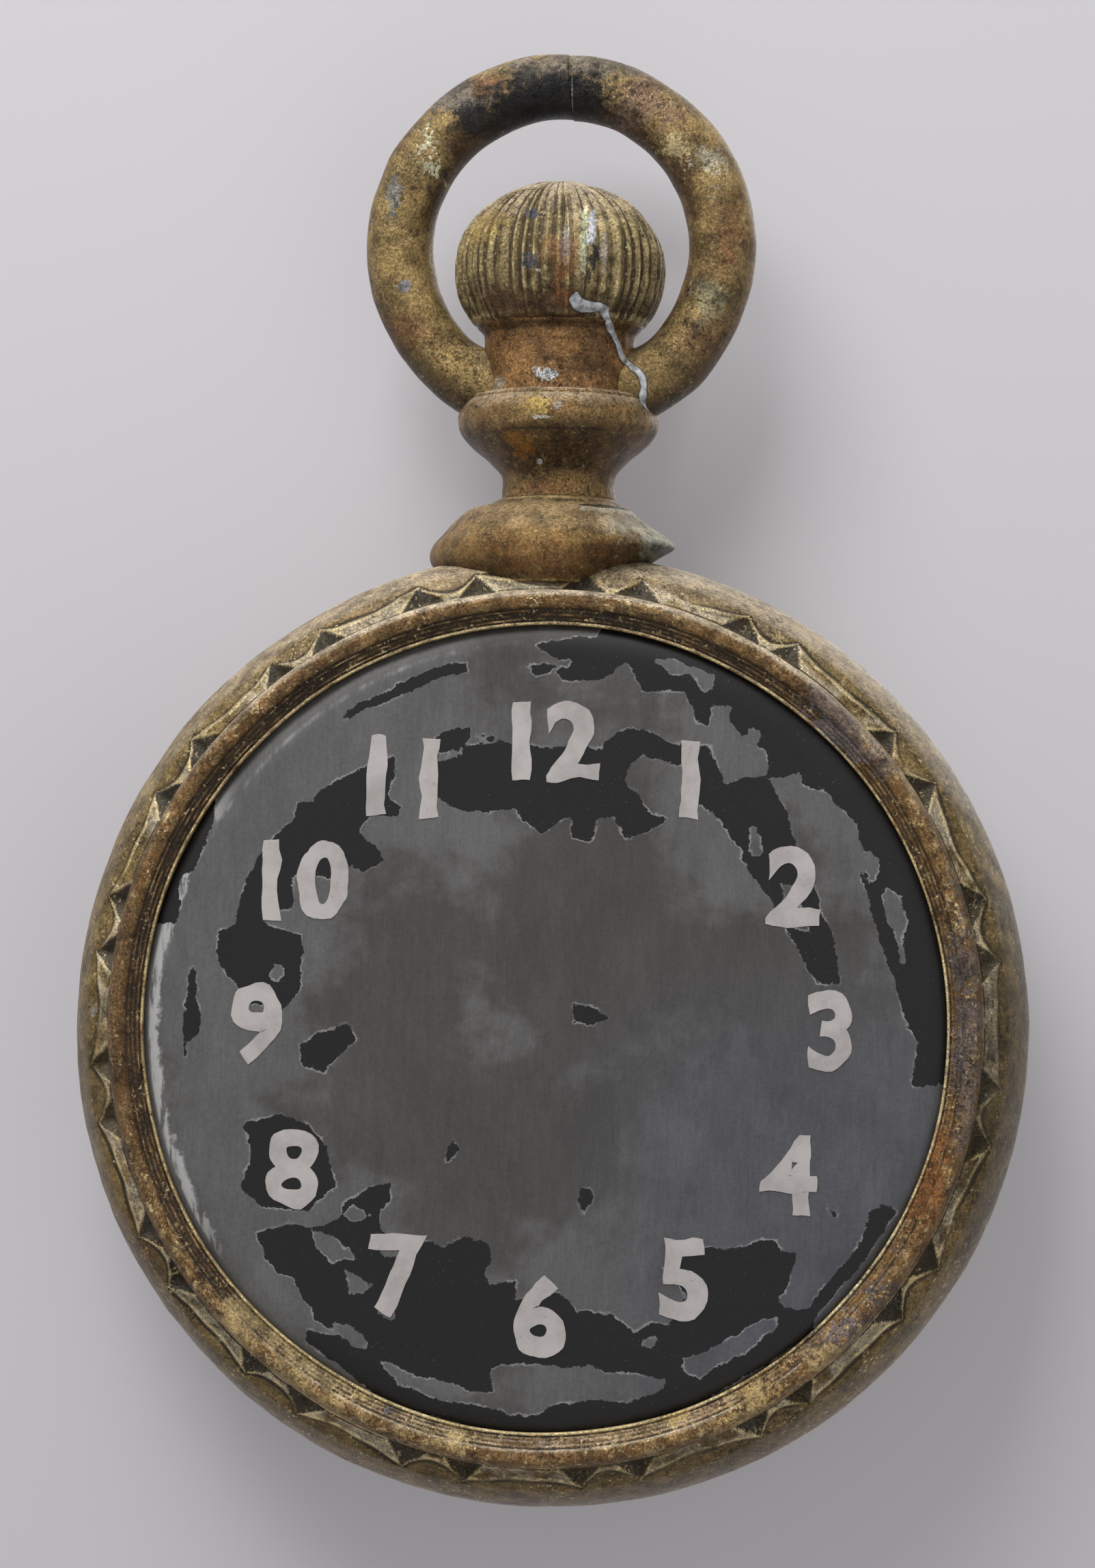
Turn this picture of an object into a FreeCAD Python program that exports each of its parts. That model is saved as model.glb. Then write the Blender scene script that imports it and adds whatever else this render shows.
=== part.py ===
import FreeCAD, Part
import math
import os

V = FreeCAD.Vector

# A two-sided trade sign in the shape of a pocket watch, cast in zinc and hung by its bow.
# Millimetres. +Z is up, the front dial faces -Y, and the origin is the inside top of the bow,
# where the hook bears. Heights are given above the middle of the case and shifted at the end.

# Case, as radius from its middle and depth from the seam
CASE_RADIUS = 199.5
BAND_EDGE_RADIUS = 190.5
BAND_EDGE_DEPTH = 33.0
BORDER_INNER_RADIUS = 179.0
FACE_DEPTH = 42.0
CASE_WALL = 5.0
FLANGE_INNER_RADIUS = 168.0
FLANGE_THICKNESS = 4.0

# Notched border
NOTCH_PAIRS = 16
NOTCH_FIRST_ANGLE = 25.5
NOTCH_DRIFT = 7.0
NOTCH_SPACING = 7.4
NOTCH_ANGLE = 7.0
NOTCH_DEPTH = 3.4
NOTCH_SIDE_MARGIN = 1.2
NOTCH_APEX_MARGIN = 2.4

# Bezel
BEZEL_INNER_RADIUS = 166.5
BEZEL_HEIGHT = 8.0
BEZEL_CREST_WIDTH = 4.5
BEZEL_LIP_HEIGHT = 2.0
BEZEL_REEDS = 3
BEZEL_REED_BULGE = 0.7
BEZEL_SCREWS = 8
BEZEL_SCREW_RADIUS = 1.9
BEZEL_SCREW_HEAD_RADIUS = 2.6
BEZEL_SCREW_HEAD_HEIGHT = 2.2
BEZEL_SCREW_BITE = 4.5
BEZEL_SCREW_INSET = 4.4

# Dial
DIAL_SHEET = 1.2
DIAL_CROWN = 7.0
DIAL_CENTRE_RADIUS = 50.0
DIAL_FACE_RADIUS = 152.0
DIAL_FACE_DROP = 1.0
DIAL_ROLL_BULGE = 2.5
DIAL_FLANGE_WIDTH = 4.8
DIAL_CLEARANCE = 0.6
DIAL_CLIPS = 8
DIAL_CLIP_SHEET = 1.5
DIAL_CLIP_FOOT = 5.0
DIAL_CLIP_WIDTH = 10.0
DIAL_CLIP_CLEARANCE = 0.3

# Strip inside the seam
STRAP_WIDTH = 24.0
STRAP_THICKNESS = 2.6

# Pendant, stacked on the rim
SADDLE_HALF_LENGTH = 51.3
SADDLE_HALF_DEPTH = 48.0
SADDLE_TIP_HEIGHT = 198.0
SADDLE_WALL = 4.5
SADDLE_SKIRT_DROP = 15.0
PENDANT_SEAT_HEIGHT = 221.0
PENDANT_SEAT_RADIUS = 24.6
WAIST_HEIGHT = 228.0
WAIST_RADIUS = 24.0
COLLAR_HEIGHT = 254.5
COLLAR_RADIUS = 42.3
COLLAR_UNDERCUT = 1.5
COLLAR_TOP_HEIGHT = 267.0
COLLAR_TOP_RADIUS = 36.0
NECK_TOP_HEIGHT = 299.0
NECK_RADIUS = 31.8
PENDANT_WALL = 5.0
NECK_SPIGOT_RADIUS = 26.0
NECK_SPIGOT_HEIGHT = 6.0
NECK_SPIGOT_FIT = 0.2

# Fluted crown
CROWN_TOP_HEIGHT = 354.0
CROWN_BELLY_HEIGHT = 319.0
CROWN_RADIUS = 45.0
CROWN_FOOT_RADIUS = 40.3
CROWN_CAP_RADIUS = 7.0
CROWN_WALL = 5.0
CROWN_FLUTES = 34
CROWN_FLUTE_DEPTH = 1.8

# Bow
BOW_CENTRE_HEIGHT = 328.0
BOW_MEAN_RADIUS = 68.0
BOW_TUBE_RADIUS = 14.5
BOW_ROOT_RADIUS = 17.5
BOW_ROOT_START_ANGLE = 50.0
BOW_ROOT_END_ANGLE = 24.0
BOW_JOINT_GAP = 0.2
BOW_DOWEL_RADIUS = 4.0
BOW_DOWEL_LENGTH = 32.0
BOW_PIN_RADIUS = 3.5
BOW_PIN_LENGTH = 24.0
BOW_PIN_HEIGHT = 281.0
PIN_HOLE_CLEARANCE = 0.1

# Iron tie rod through the pendant
ROD_RADIUS = 5.0
ROD_HOLE_CLEARANCE = 0.4
ROD_END_STICKOUT = 4.0
NUT_ACROSS_FLATS = 16.0
NUT_HEIGHT = 8.0
WASHER_RADIUS = 11.0
WASHER_THICKNESS = 2.0
ANCHOR_HALF_LENGTH = 28.0
ANCHOR_HALF_WIDTH = 20.0
ANCHOR_THICKNESS = 7.0
ANCHOR_CLEARANCE = 0.2

# Metal run into the crack down the neck
BEAD_PROUD = 1.0
BEAD_WIDTH = 2.2
BEAD_START_SIDE = 7.0
BEAD_END_SIDE = 30.5
BEAD_FOOT_RISE = 9.0
BEAD_CLEARANCE = 0.1

ORIGIN_HEIGHT = BOW_CENTRE_HEIGHT + BOW_MEAN_RADIUS - BOW_TUBE_RADIUS
CASE_MIDDLE = V(0, 0, 0)
DEPTH_AXIS = V(0, 1, 0)
UP = V(0, 0, 1)
BAND_ARC_RADIUS = ((CASE_RADIUS - BAND_EDGE_RADIUS) ** 2 + BAND_EDGE_DEPTH ** 2) / (
    2 * (CASE_RADIUS - BAND_EDGE_RADIUS))
BAND_ARC_CENTRE = CASE_RADIUS - BAND_ARC_RADIUS
CAVITY_RADIUS = CASE_RADIUS - CASE_WALL
FLANGE_BACK_DEPTH = FACE_DEPTH - FLANGE_THICKNESS
DIAL_TOP_DEPTH = FLANGE_BACK_DEPTH + DIAL_CROWN
DIAL_ROLL_RADIUS = FLANGE_INNER_RADIUS - DIAL_CLEARANCE
DIAL_EDGE_RADIUS = DIAL_ROLL_RADIUS + DIAL_FLANGE_WIDTH
BEZEL_SCREW_CIRCLE = BORDER_INNER_RADIUS - BEZEL_SCREW_INSET


def polar(radius, depth):
    """A point of a case section: radius from the case's axis, depth towards the front."""
    return V(radius, -depth, 0)


def upright(radius, height):
    """A point of a pendant section: radius from the upright axis, height."""
    return V(radius, 0, height)


def line(a, b):
    return Part.LineSegment(a, b).toShape()


def arc(a, middle, b):
    return Part.Arc(a, middle, b).toShape()


def bulge(a, b, rise):
    """The middle of an arc from a to b, drawn in a case section, that stands off its chord by rise."""
    chord = b.sub(a)
    normal = V(-chord.y, chord.x, 0)
    normal.normalize()
    return a.add(chord.multiply(0.5)).add(normal.multiply(rise))


def turned(edges, axis, sweep=360.0):
    """The solid that a closed section makes when it is turned about an axis through the case's middle."""
    face = Part.Face(Part.Wire(edges))
    return face.revolve(CASE_MIDDLE, axis, sweep)


def joined_lines(points):
    """Straight edges from point to point and back to the first."""
    return [line(a, b) for a, b in zip(points, points[1:] + points[:1])]


def band_point(radius, angle):
    """A point on an arc about the rim's own centre, at an angle from the seam."""
    return polar(BAND_ARC_CENTRE + radius * math.cos(angle), radius * math.sin(angle))


def band_edge_angle():
    return math.atan2(BAND_EDGE_DEPTH, BAND_EDGE_RADIUS - BAND_ARC_CENTRE)


def border_slope():
    """Direction of the border's flat slope, from the rim band in towards the bezel."""
    slope = polar(BORDER_INNER_RADIUS, FACE_DEPTH).sub(polar(BAND_EDGE_RADIUS, BAND_EDGE_DEPTH))
    slope.normalize()
    return slope


def border_inner_points():
    """The two ends of the border's inner wall: under the rim band's edge and at the flange's back."""
    start = band_point(BAND_ARC_RADIUS - CASE_WALL, band_edge_angle())
    slope = border_slope()
    run = (-FLANGE_BACK_DEPTH - start.y) / slope.y
    return start, start.add(slope.multiply(run))


def shell_section():
    """Section of the front shell: rim band, sloping border, flat flange, and the wall's inside."""
    edge = band_edge_angle()
    seam = polar(CASE_RADIUS, 0)
    band_end = polar(BAND_EDGE_RADIUS, BAND_EDGE_DEPTH)
    border_end = polar(BORDER_INNER_RADIUS, FACE_DEPTH)
    flange_face = polar(FLANGE_INNER_RADIUS, FACE_DEPTH)
    flange_back = polar(FLANGE_INNER_RADIUS, FLANGE_BACK_DEPTH)
    inner_start, inner_end = border_inner_points()
    inner_seam = polar(CAVITY_RADIUS, 0)
    return [
        arc(seam, band_point(BAND_ARC_RADIUS, edge / 2), band_end),
        line(band_end, border_end),
        line(border_end, flange_face),
        line(flange_face, flange_back),
        line(flange_back, inner_end),
        line(inner_end, inner_start),
        arc(inner_start, band_point(BAND_ARC_RADIUS - CASE_WALL, edge / 2), inner_seam),
        line(inner_seam, seam),
    ]


def case_envelope():
    """The outside of both shells and the bezels as one filled solid, to cut the saddle to."""
    edge = band_edge_angle()
    front = polar(BAND_EDGE_RADIUS, BAND_EDGE_DEPTH)
    back = polar(BAND_EDGE_RADIUS, -BAND_EDGE_DEPTH)
    reach = FACE_DEPTH + BEZEL_HEIGHT
    points = [
        back,
        polar(BORDER_INNER_RADIUS, -FACE_DEPTH),
        polar(BORDER_INNER_RADIUS, -reach),
        polar(0, -reach),
        polar(0, reach),
        polar(BORDER_INNER_RADIUS, reach),
        polar(BORDER_INNER_RADIUS, FACE_DEPTH),
        front,
    ]
    edges = [line(a, b) for a, b in zip(points, points[1:])]
    edges.append(arc(front, band_point(BAND_ARC_RADIUS, 0), back))
    return turned(edges, DEPTH_AXIS)


def about_case(point, angle):
    """Turn a section point round the case, clockwise from the top as seen from the front."""
    radius = point.x
    turn = math.radians(angle)
    return V(radius * math.sin(turn), point.y, radius * math.cos(turn))


def notch_cutter(angle):
    """A three-sided pit: base along the bezel, point outwards, deepest in its middle."""
    outer_start = polar(BAND_EDGE_RADIUS, BAND_EDGE_DEPTH)
    slope = border_slope()
    width = polar(BORDER_INNER_RADIUS, FACE_DEPTH).sub(outer_start).Length
    normal = V(-slope.y, slope.x, 0)
    if normal.y > 0:
        normal = normal.multiply(-1)
    apex = outer_start.add(V(slope).multiply(NOTCH_APEX_MARGIN))
    base = outer_start.add(V(slope).multiply(width - NOTCH_SIDE_MARGIN))
    floor = apex.add(base).multiply(0.5).sub(V(normal).multiply(NOTCH_DEPTH))
    half = NOTCH_ANGLE / 2
    corners = [about_case(base, angle - half), about_case(base, angle + half), about_case(apex, angle)]
    pit = about_case(floor, angle)
    tops = [corner.add(corner.sub(pit)) for corner in corners]
    faces = [Part.Face(Part.makePolygon([pit, tops[i], tops[(i + 1) % 3], pit])) for i in range(3)]
    faces.append(Part.Face(Part.makePolygon(tops + [tops[0]])))
    return Part.Solid(Part.Shell(faces))


def notch_angles():
    """Angles of the notches, clockwise from the top: hand-set pairs, wider apart on the right."""
    pitch = 360.0 / NOTCH_PAIRS
    angles = []
    for pair in range(NOTCH_PAIRS):
        first = NOTCH_FIRST_ANGLE + pair * pitch + NOTCH_DRIFT * math.sin(math.pi * pair / NOTCH_PAIRS)
        angles.extend([first, first + NOTCH_SPACING])
    return angles


def rod_hole(bottom, top):
    return Part.makeCylinder(ROD_RADIUS + ROD_HOLE_CLEARANCE, top - bottom, V(0, 0, bottom), UP)


def bezel_screw_places():
    """Where each bezel screw's axis crosses the seam's plane."""
    pitch = 360.0 / BEZEL_SCREWS
    return [about_case(polar(BEZEL_SCREW_CIRCLE, 0), i * pitch) for i in range(BEZEL_SCREWS)]


def case_front_shell():
    shell = turned(shell_section(), DEPTH_AXIS)
    shell = shell.cut([notch_cutter(angle) for angle in notch_angles()])
    holes = [rod_hole(CAVITY_RADIUS - CASE_WALL, CASE_RADIUS + CASE_WALL)]
    for place in bezel_screw_places():
        holes.append(Part.makeCylinder(
            BEZEL_SCREW_RADIUS + PIN_HOLE_CLEARANCE, FLANGE_THICKNESS,
            V(place.x, -FLANGE_BACK_DEPTH, place.z), V(0, -1, 0)))
    return shell.cut(holes)


def bezel_front():
    """Half-round bead with a reeded inner slope and a short upright lip."""
    outer_foot = polar(BORDER_INNER_RADIUS, FACE_DEPTH)
    crest_depth = FACE_DEPTH + BEZEL_HEIGHT
    crest = polar(BORDER_INNER_RADIUS - BEZEL_CREST_WIDTH, crest_depth)
    shoulder = polar(
        BORDER_INNER_RADIUS - BEZEL_CREST_WIDTH * (1 - math.sqrt(0.5)),
        FACE_DEPTH + BEZEL_HEIGHT * math.sqrt(0.5))
    lip_top = polar(BEZEL_INNER_RADIUS, FACE_DEPTH + BEZEL_LIP_HEIGHT)
    lip_foot = polar(BEZEL_INNER_RADIUS, FACE_DEPTH)
    edges = [arc(outer_foot, shoulder, crest)]
    span = lip_top.sub(crest)
    for reed in range(BEZEL_REEDS):
        start = crest.add(V(span).multiply(reed / BEZEL_REEDS))
        end = crest.add(V(span).multiply((reed + 1) / BEZEL_REEDS))
        edges.append(arc(start, bulge(start, end, BEZEL_REED_BULGE), end))
    edges.append(line(lip_top, lip_foot))
    edges.append(line(lip_foot, outer_foot))
    ring = turned(edges, DEPTH_AXIS)
    holes = []
    for place in bezel_screw_places():
        holes.append(Part.makeCylinder(
            BEZEL_SCREW_RADIUS + PIN_HOLE_CLEARANCE, BEZEL_SCREW_BITE + PIN_HOLE_CLEARANCE,
            V(place.x, -FACE_DEPTH, place.z), V(0, -1, 0)))
    return ring.cut(holes)


def bezel_screws_front():
    """Screws driven from inside the case, heads against the back of the flange."""
    screws = []
    for place in bezel_screw_places():
        seat = V(place.x, -FLANGE_BACK_DEPTH, place.z)
        shank = Part.makeCylinder(BEZEL_SCREW_RADIUS, FLANGE_THICKNESS + BEZEL_SCREW_BITE, seat, V(0, -1, 0))
        head = Part.makeCylinder(BEZEL_SCREW_HEAD_RADIUS, BEZEL_SCREW_HEAD_HEIGHT, seat, V(0, 1, 0))
        screws.append(shank.fuse(head).removeSplitter())
    return Part.makeCompound(screws)


def dial_outline(lower):
    """Points across one side of the sheet, from its middle to its edge."""
    face_width = DIAL_FACE_RADIUS - DIAL_CENTRE_RADIUS
    return [
        polar(0, DIAL_TOP_DEPTH - lower),
        polar(DIAL_CENTRE_RADIUS, DIAL_TOP_DEPTH - lower),
        polar(DIAL_CENTRE_RADIUS + face_width / 2, DIAL_TOP_DEPTH - DIAL_FACE_DROP / 4 - lower),
        polar(DIAL_FACE_RADIUS, DIAL_TOP_DEPTH - DIAL_FACE_DROP - lower),
        polar(DIAL_ROLL_RADIUS, FLANGE_BACK_DEPTH - lower),
        polar(DIAL_EDGE_RADIUS, FLANGE_BACK_DEPTH - lower),
    ]


def dial_front():
    """Crowned sheet: nearly flat, then rolled down to a flange that sits behind the case's flange."""
    middle, centre, face_mid, face, roll, edge = dial_outline(0.0)
    back_middle, back_centre, back_face_mid, back_face, back_roll, back_edge = dial_outline(DIAL_SHEET)
    return turned([
        line(middle, centre),
        arc(centre, face_mid, face),
        arc(face, bulge(face, roll, -DIAL_ROLL_BULGE), roll),
        line(roll, edge),
        line(edge, back_edge),
        line(back_edge, back_roll),
        arc(back_roll, bulge(back_face, back_roll, -DIAL_ROLL_BULGE), back_face),
        arc(back_face, back_face_mid, back_centre),
        line(back_centre, back_middle),
        line(back_middle, middle),
    ], DEPTH_AXIS)


def dial_clips_front():
    """Stepped tabs: soldered to the back of the flange, each toe pressing on the dial's flange."""
    toe = DIAL_ROLL_RADIUS
    step = DIAL_EDGE_RADIUS + DIAL_CLIP_CLEARANCE
    heel = step + DIAL_CLIP_FOOT
    dial_back = FLANGE_BACK_DEPTH - DIAL_SHEET
    low = dial_back - DIAL_CLIP_SHEET
    points = [
        polar(toe, dial_back), polar(step, dial_back), polar(step, FLANGE_BACK_DEPTH),
        polar(heel, FLANGE_BACK_DEPTH), polar(heel, low), polar(toe, low),
    ]
    sweep = math.degrees(DIAL_CLIP_WIDTH / heel)
    first = 180.0 / DIAL_CLIPS
    clips = []
    for i in range(DIAL_CLIPS):
        clip = turned(joined_lines(points), DEPTH_AXIS, sweep)
        clip.rotate(CASE_MIDDLE, DEPTH_AXIS, first + i * 360.0 / DIAL_CLIPS)
        clips.append(clip)
    return Part.makeCompound(clips)


def seam_strap():
    """Strip soldered across the seam on the inside of the rim, bent to the walls."""
    half = STRAP_WIDTH / 2
    lift = BAND_ARC_RADIUS - CASE_WALL - ANCHOR_CLEARANCE
    swing = math.asin(half / lift)
    inner = CAVITY_RADIUS - STRAP_THICKNESS - ANCHOR_CLEARANCE
    start = band_point(lift, -swing)
    end = band_point(lift, swing)
    edges = [
        arc(start, band_point(lift, 0), end),
        line(end, polar(inner, half)),
        line(polar(inner, half), polar(inner, -half)),
        line(polar(inner, -half), start),
    ]
    strap = turned(edges, DEPTH_AXIS)
    return strap.cut(rod_hole(inner - STRAP_THICKNESS, CASE_RADIUS))


def oval(height, half_length, half_depth):
    """A level oval ring about the pendant's axis."""
    stretch = FreeCAD.Matrix()
    stretch.scale(half_length, half_depth, 1.0)
    ring = Part.makeCircle(1.0).transformGeometry(stretch)
    ring.translate(V(0, 0, height))
    return Part.Wire([ring])


def saddle_form(inset):
    """The lens-shaped foot: a round top that spreads into a long oval and turns under at its edge."""
    rise = PENDANT_SEAT_HEIGHT - SADDLE_TIP_HEIGHT
    steps = [
        (SADDLE_TIP_HEIGHT - SADDLE_SKIRT_DROP, 0.93, 0.90),
        (SADDLE_TIP_HEIGHT - SADDLE_SKIRT_DROP * 0.5, 0.985, 0.97),
        (SADDLE_TIP_HEIGHT, 1.0, 1.0),
        (SADDLE_TIP_HEIGHT + rise * 0.20, 0.96, 0.975),
        (SADDLE_TIP_HEIGHT + rise * 0.42, 0.85, 0.885),
        (SADDLE_TIP_HEIGHT + rise * 0.72, 0.68, 0.72),
        (SADDLE_TIP_HEIGHT + rise * 0.90, 0.55, 0.57),
    ]
    wires = []
    for height, long_share, deep_share in steps:
        half_length = SADDLE_HALF_LENGTH * long_share - inset
        half_depth = SADDLE_HALF_DEPTH * deep_share - inset
        wires.append(oval(height, half_length, half_depth))
    top = PENDANT_SEAT_RADIUS - inset
    wires.append(oval(PENDANT_SEAT_HEIGHT, top, top))
    return Part.makeLoft(wires, True, False)


def saddle(envelope):
    outer = saddle_form(0.0)
    inner = saddle_form(SADDLE_WALL)
    return outer.cut([inner, envelope])


def baluster_form(inset):
    """Waist and collar filled solid, from the saddle's seat up to the collar's top."""
    seat = upright(PENDANT_SEAT_RADIUS - inset, PENDANT_SEAT_HEIGHT)
    waist = upright(WAIST_RADIUS - inset, WAIST_HEIGHT)
    under_height = (WAIST_HEIGHT + COLLAR_HEIGHT) / 2 - COLLAR_UNDERCUT
    under = upright((WAIST_RADIUS + COLLAR_RADIUS) / 2 - inset, under_height)
    belly = upright(COLLAR_RADIUS - inset, COLLAR_HEIGHT)
    top = upright(COLLAR_TOP_RADIUS - inset, COLLAR_TOP_HEIGHT)
    curve = Part.BSplineCurve()
    curve.interpolate([seat, waist, under, belly, top])
    bottom_middle = upright(0, PENDANT_SEAT_HEIGHT)
    top_middle = upright(0, COLLAR_TOP_HEIGHT)
    return turned([
        line(bottom_middle, seat),
        curve.toShape(),
        line(top, top_middle),
        line(top_middle, bottom_middle),
    ], UP)


def baluster():
    """Hollow casting, with a deck at the top that the neck stands on."""
    deck_height = COLLAR_TOP_HEIGHT - PENDANT_WALL
    deck = Part.makeCylinder(COLLAR_RADIUS, PENDANT_WALL, V(0, 0, deck_height), UP)
    hollow = baluster_form(PENDANT_WALL).cut(deck)
    opening = Part.makeCylinder(NECK_RADIUS - PENDANT_WALL, PENDANT_WALL, V(0, 0, deck_height), UP)
    return baluster_form(0.0).cut([hollow, opening])


def neck():
    """Plain tube closed by a deck, with a spigot that the crown sits over."""
    height = NECK_TOP_HEIGHT - COLLAR_TOP_HEIGHT
    tube = Part.makeCylinder(NECK_RADIUS, height, V(0, 0, COLLAR_TOP_HEIGHT), UP)
    bore = NECK_RADIUS - PENDANT_WALL
    inside = Part.makeCylinder(bore, height - PENDANT_WALL, V(0, 0, COLLAR_TOP_HEIGHT), UP)
    spigot = Part.makeCylinder(NECK_SPIGOT_RADIUS, NECK_SPIGOT_HEIGHT, V(0, 0, NECK_TOP_HEIGHT), UP)
    recess_radius = NECK_SPIGOT_RADIUS - PENDANT_WALL
    recess = Part.makeCylinder(recess_radius, NECK_SPIGOT_HEIGHT, V(0, 0, NECK_TOP_HEIGHT), UP)
    body = tube.fuse(spigot).removeSplitter()
    holes = [inside, recess, rod_hole(COLLAR_TOP_HEIGHT, NECK_TOP_HEIGHT + NECK_SPIGOT_HEIGHT)]
    for side in (-1, 1):
        holes.append(bow_pin(side, PIN_HOLE_CLEARANCE))
    return body.cut(holes)


def crown_radius(height):
    """Outline of the crown: an oval from foot to top, widest at its belly."""
    if height >= CROWN_BELLY_HEIGHT:
        share = (height - CROWN_BELLY_HEIGHT) / (CROWN_TOP_HEIGHT - CROWN_BELLY_HEIGHT)
    else:
        foot_share = math.sqrt(1 - (CROWN_FOOT_RADIUS / CROWN_RADIUS) ** 2)
        share = foot_share * (CROWN_BELLY_HEIGHT - height) / (CROWN_BELLY_HEIGHT - NECK_TOP_HEIGHT)
    return CROWN_RADIUS * math.sqrt(max(0.0, 1 - share ** 2))


def crown_ring(height):
    """One level of the crown: a ring of crests and valleys that fade out towards the top."""
    crest = max(crown_radius(height), CROWN_CAP_RADIUS)
    fade = min(1.0, crest / CROWN_RADIUS * 1.5 - 0.35)
    valley = crest - CROWN_FLUTE_DEPTH * max(0.05, fade)
    points = []
    for i in range(2 * CROWN_FLUTES):
        turn = math.pi * i / CROWN_FLUTES
        radius = crest if i % 2 == 0 else valley
        points.append(V(radius * math.cos(turn), radius * math.sin(turn), height))
    return Part.makePolygon(points + [points[0]])


def crown_hollow():
    """The crown's inside: a socket for the neck's spigot, opening to a rounded room."""
    bore = NECK_SPIGOT_RADIUS + NECK_SPIGOT_FIT
    room = CROWN_RADIUS - CROWN_FLUTE_DEPTH - CROWN_WALL
    floor_height = NECK_TOP_HEIGHT + NECK_SPIGOT_HEIGHT
    room_height = CROWN_TOP_HEIGHT - CROWN_WALL - CROWN_BELLY_HEIGHT
    half = math.sqrt(0.5)
    drop = CROWN_BELLY_HEIGHT - floor_height
    foot = upright(bore, floor_height)
    foot_mid = upright(bore + (room - bore) * half, CROWN_BELLY_HEIGHT - drop * half)
    belly = upright(room, CROWN_BELLY_HEIGHT)
    shoulder = upright(room * half, CROWN_BELLY_HEIGHT + room_height * half)
    ceiling = upright(CROWN_CAP_RADIUS, CROWN_BELLY_HEIGHT + room_height)
    top = upright(0, CROWN_BELLY_HEIGHT + room_height)
    axis_foot = upright(0, NECK_TOP_HEIGHT)
    rim = upright(bore, NECK_TOP_HEIGHT)
    return turned([
        arc(foot, foot_mid, belly),
        arc(belly, shoulder, ceiling),
        line(ceiling, top),
        line(top, axis_foot),
        line(axis_foot, rim),
        line(rim, foot),
    ], UP)


def crown():
    below = CROWN_BELLY_HEIGHT - NECK_TOP_HEIGHT
    above = CROWN_TOP_HEIGHT - CROWN_BELLY_HEIGHT
    levels = [NECK_TOP_HEIGHT + below * share for share in (0.0, 0.2, 0.5, 1.0)]
    for angle in (20, 38, 52, 64, 74, 82):
        levels.append(CROWN_BELLY_HEIGHT + above * math.sin(math.radians(angle)))
    shell = Part.makeLoft([crown_ring(height) for height in levels], True, True)
    return shell.cut(crown_hollow())


def bow_pin(side, clearance):
    """Pin from inside the neck out into the bow's end; with a clearance, the hole for it."""
    outer_end = V(side * (NECK_RADIUS + BOW_PIN_LENGTH / 2 + clearance), 0, BOW_PIN_HEIGHT)
    length = BOW_PIN_LENGTH + clearance
    return Part.makeCylinder(BOW_PIN_RADIUS + clearance, length, outer_end, V(-side, 0, 0))


def bow_pins():
    return Part.makeCompound([bow_pin(side, 0.0) for side in (-1, 1)])


def bow_dowel(clearance):
    """Dowel across the joint at the bow's top; with a clearance, the hole for it."""
    height = BOW_CENTRE_HEIGHT + BOW_MEAN_RADIUS
    length = BOW_DOWEL_LENGTH + 2 * clearance
    return Part.makeCylinder(BOW_DOWEL_RADIUS + clearance, length, V(-length / 2, 0, height), V(1, 0, 0))


def pendant_envelope():
    """Neck and baluster filled solid, to cut the bow's ends to."""
    post = Part.makeCylinder(NECK_RADIUS, NECK_TOP_HEIGHT - WAIST_HEIGHT, V(0, 0, WAIST_HEIGHT), UP)
    return [post, baluster_form(0.0)]


def bow_root(side):
    """The end of one arm: it swells on the inside of the ring as it runs into the neck."""
    steps = 4
    wires = []
    for step in range(steps + 1):
        share = step / steps
        turn = math.radians(BOW_ROOT_START_ANGLE + (BOW_ROOT_END_ANGLE - BOW_ROOT_START_ANGLE) * share)
        swell = (BOW_ROOT_RADIUS - BOW_TUBE_RADIUS) * share ** 2
        reach = BOW_MEAN_RADIUS - swell
        place = V(side * reach * math.sin(turn), 0, BOW_CENTRE_HEIGHT - reach * math.cos(turn))
        heading = V(-side * math.cos(turn), 0, -math.sin(turn))
        wires.append(Part.Wire([Part.makeCircle(BOW_TUBE_RADIUS + swell, place, heading)]))
    return Part.makeLoft(wires, True, False)


def bow_half(side):
    """Half of the ring from the joint at the top to the neck."""
    middle = V(0, 0, BOW_CENTRE_HEIGHT)
    joint_x = side * BOW_JOINT_GAP / 2
    top = V(0, 0, BOW_CENTRE_HEIGHT + BOW_MEAN_RADIUS)
    tube = Part.Face(Part.Wire([Part.makeCircle(BOW_TUBE_RADIUS, top, V(1, 0, 0))]))
    ring = tube.revolve(middle, V(0, side, 0), 180.0 - BOW_ROOT_START_ANGLE)
    room = BOW_MEAN_RADIUS + 2 * BOW_TUBE_RADIUS
    corner = V(joint_x - room if side > 0 else joint_x, -room, BOW_CENTRE_HEIGHT)
    beyond = Part.makeBox(room, 2 * room, room, corner)
    holes = [beyond, bow_dowel(PIN_HOLE_CLEARANCE), bow_pin(side, PIN_HOLE_CLEARANCE)]
    half = ring.fuse(bow_root(side)).cut(holes).cut(pendant_envelope())
    return max(half.Solids, key=lambda solid: solid.Volume)


def anchor_roof():
    return CAVITY_RADIUS - STRAP_THICKNESS - 2 * ANCHOR_CLEARANCE


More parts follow.
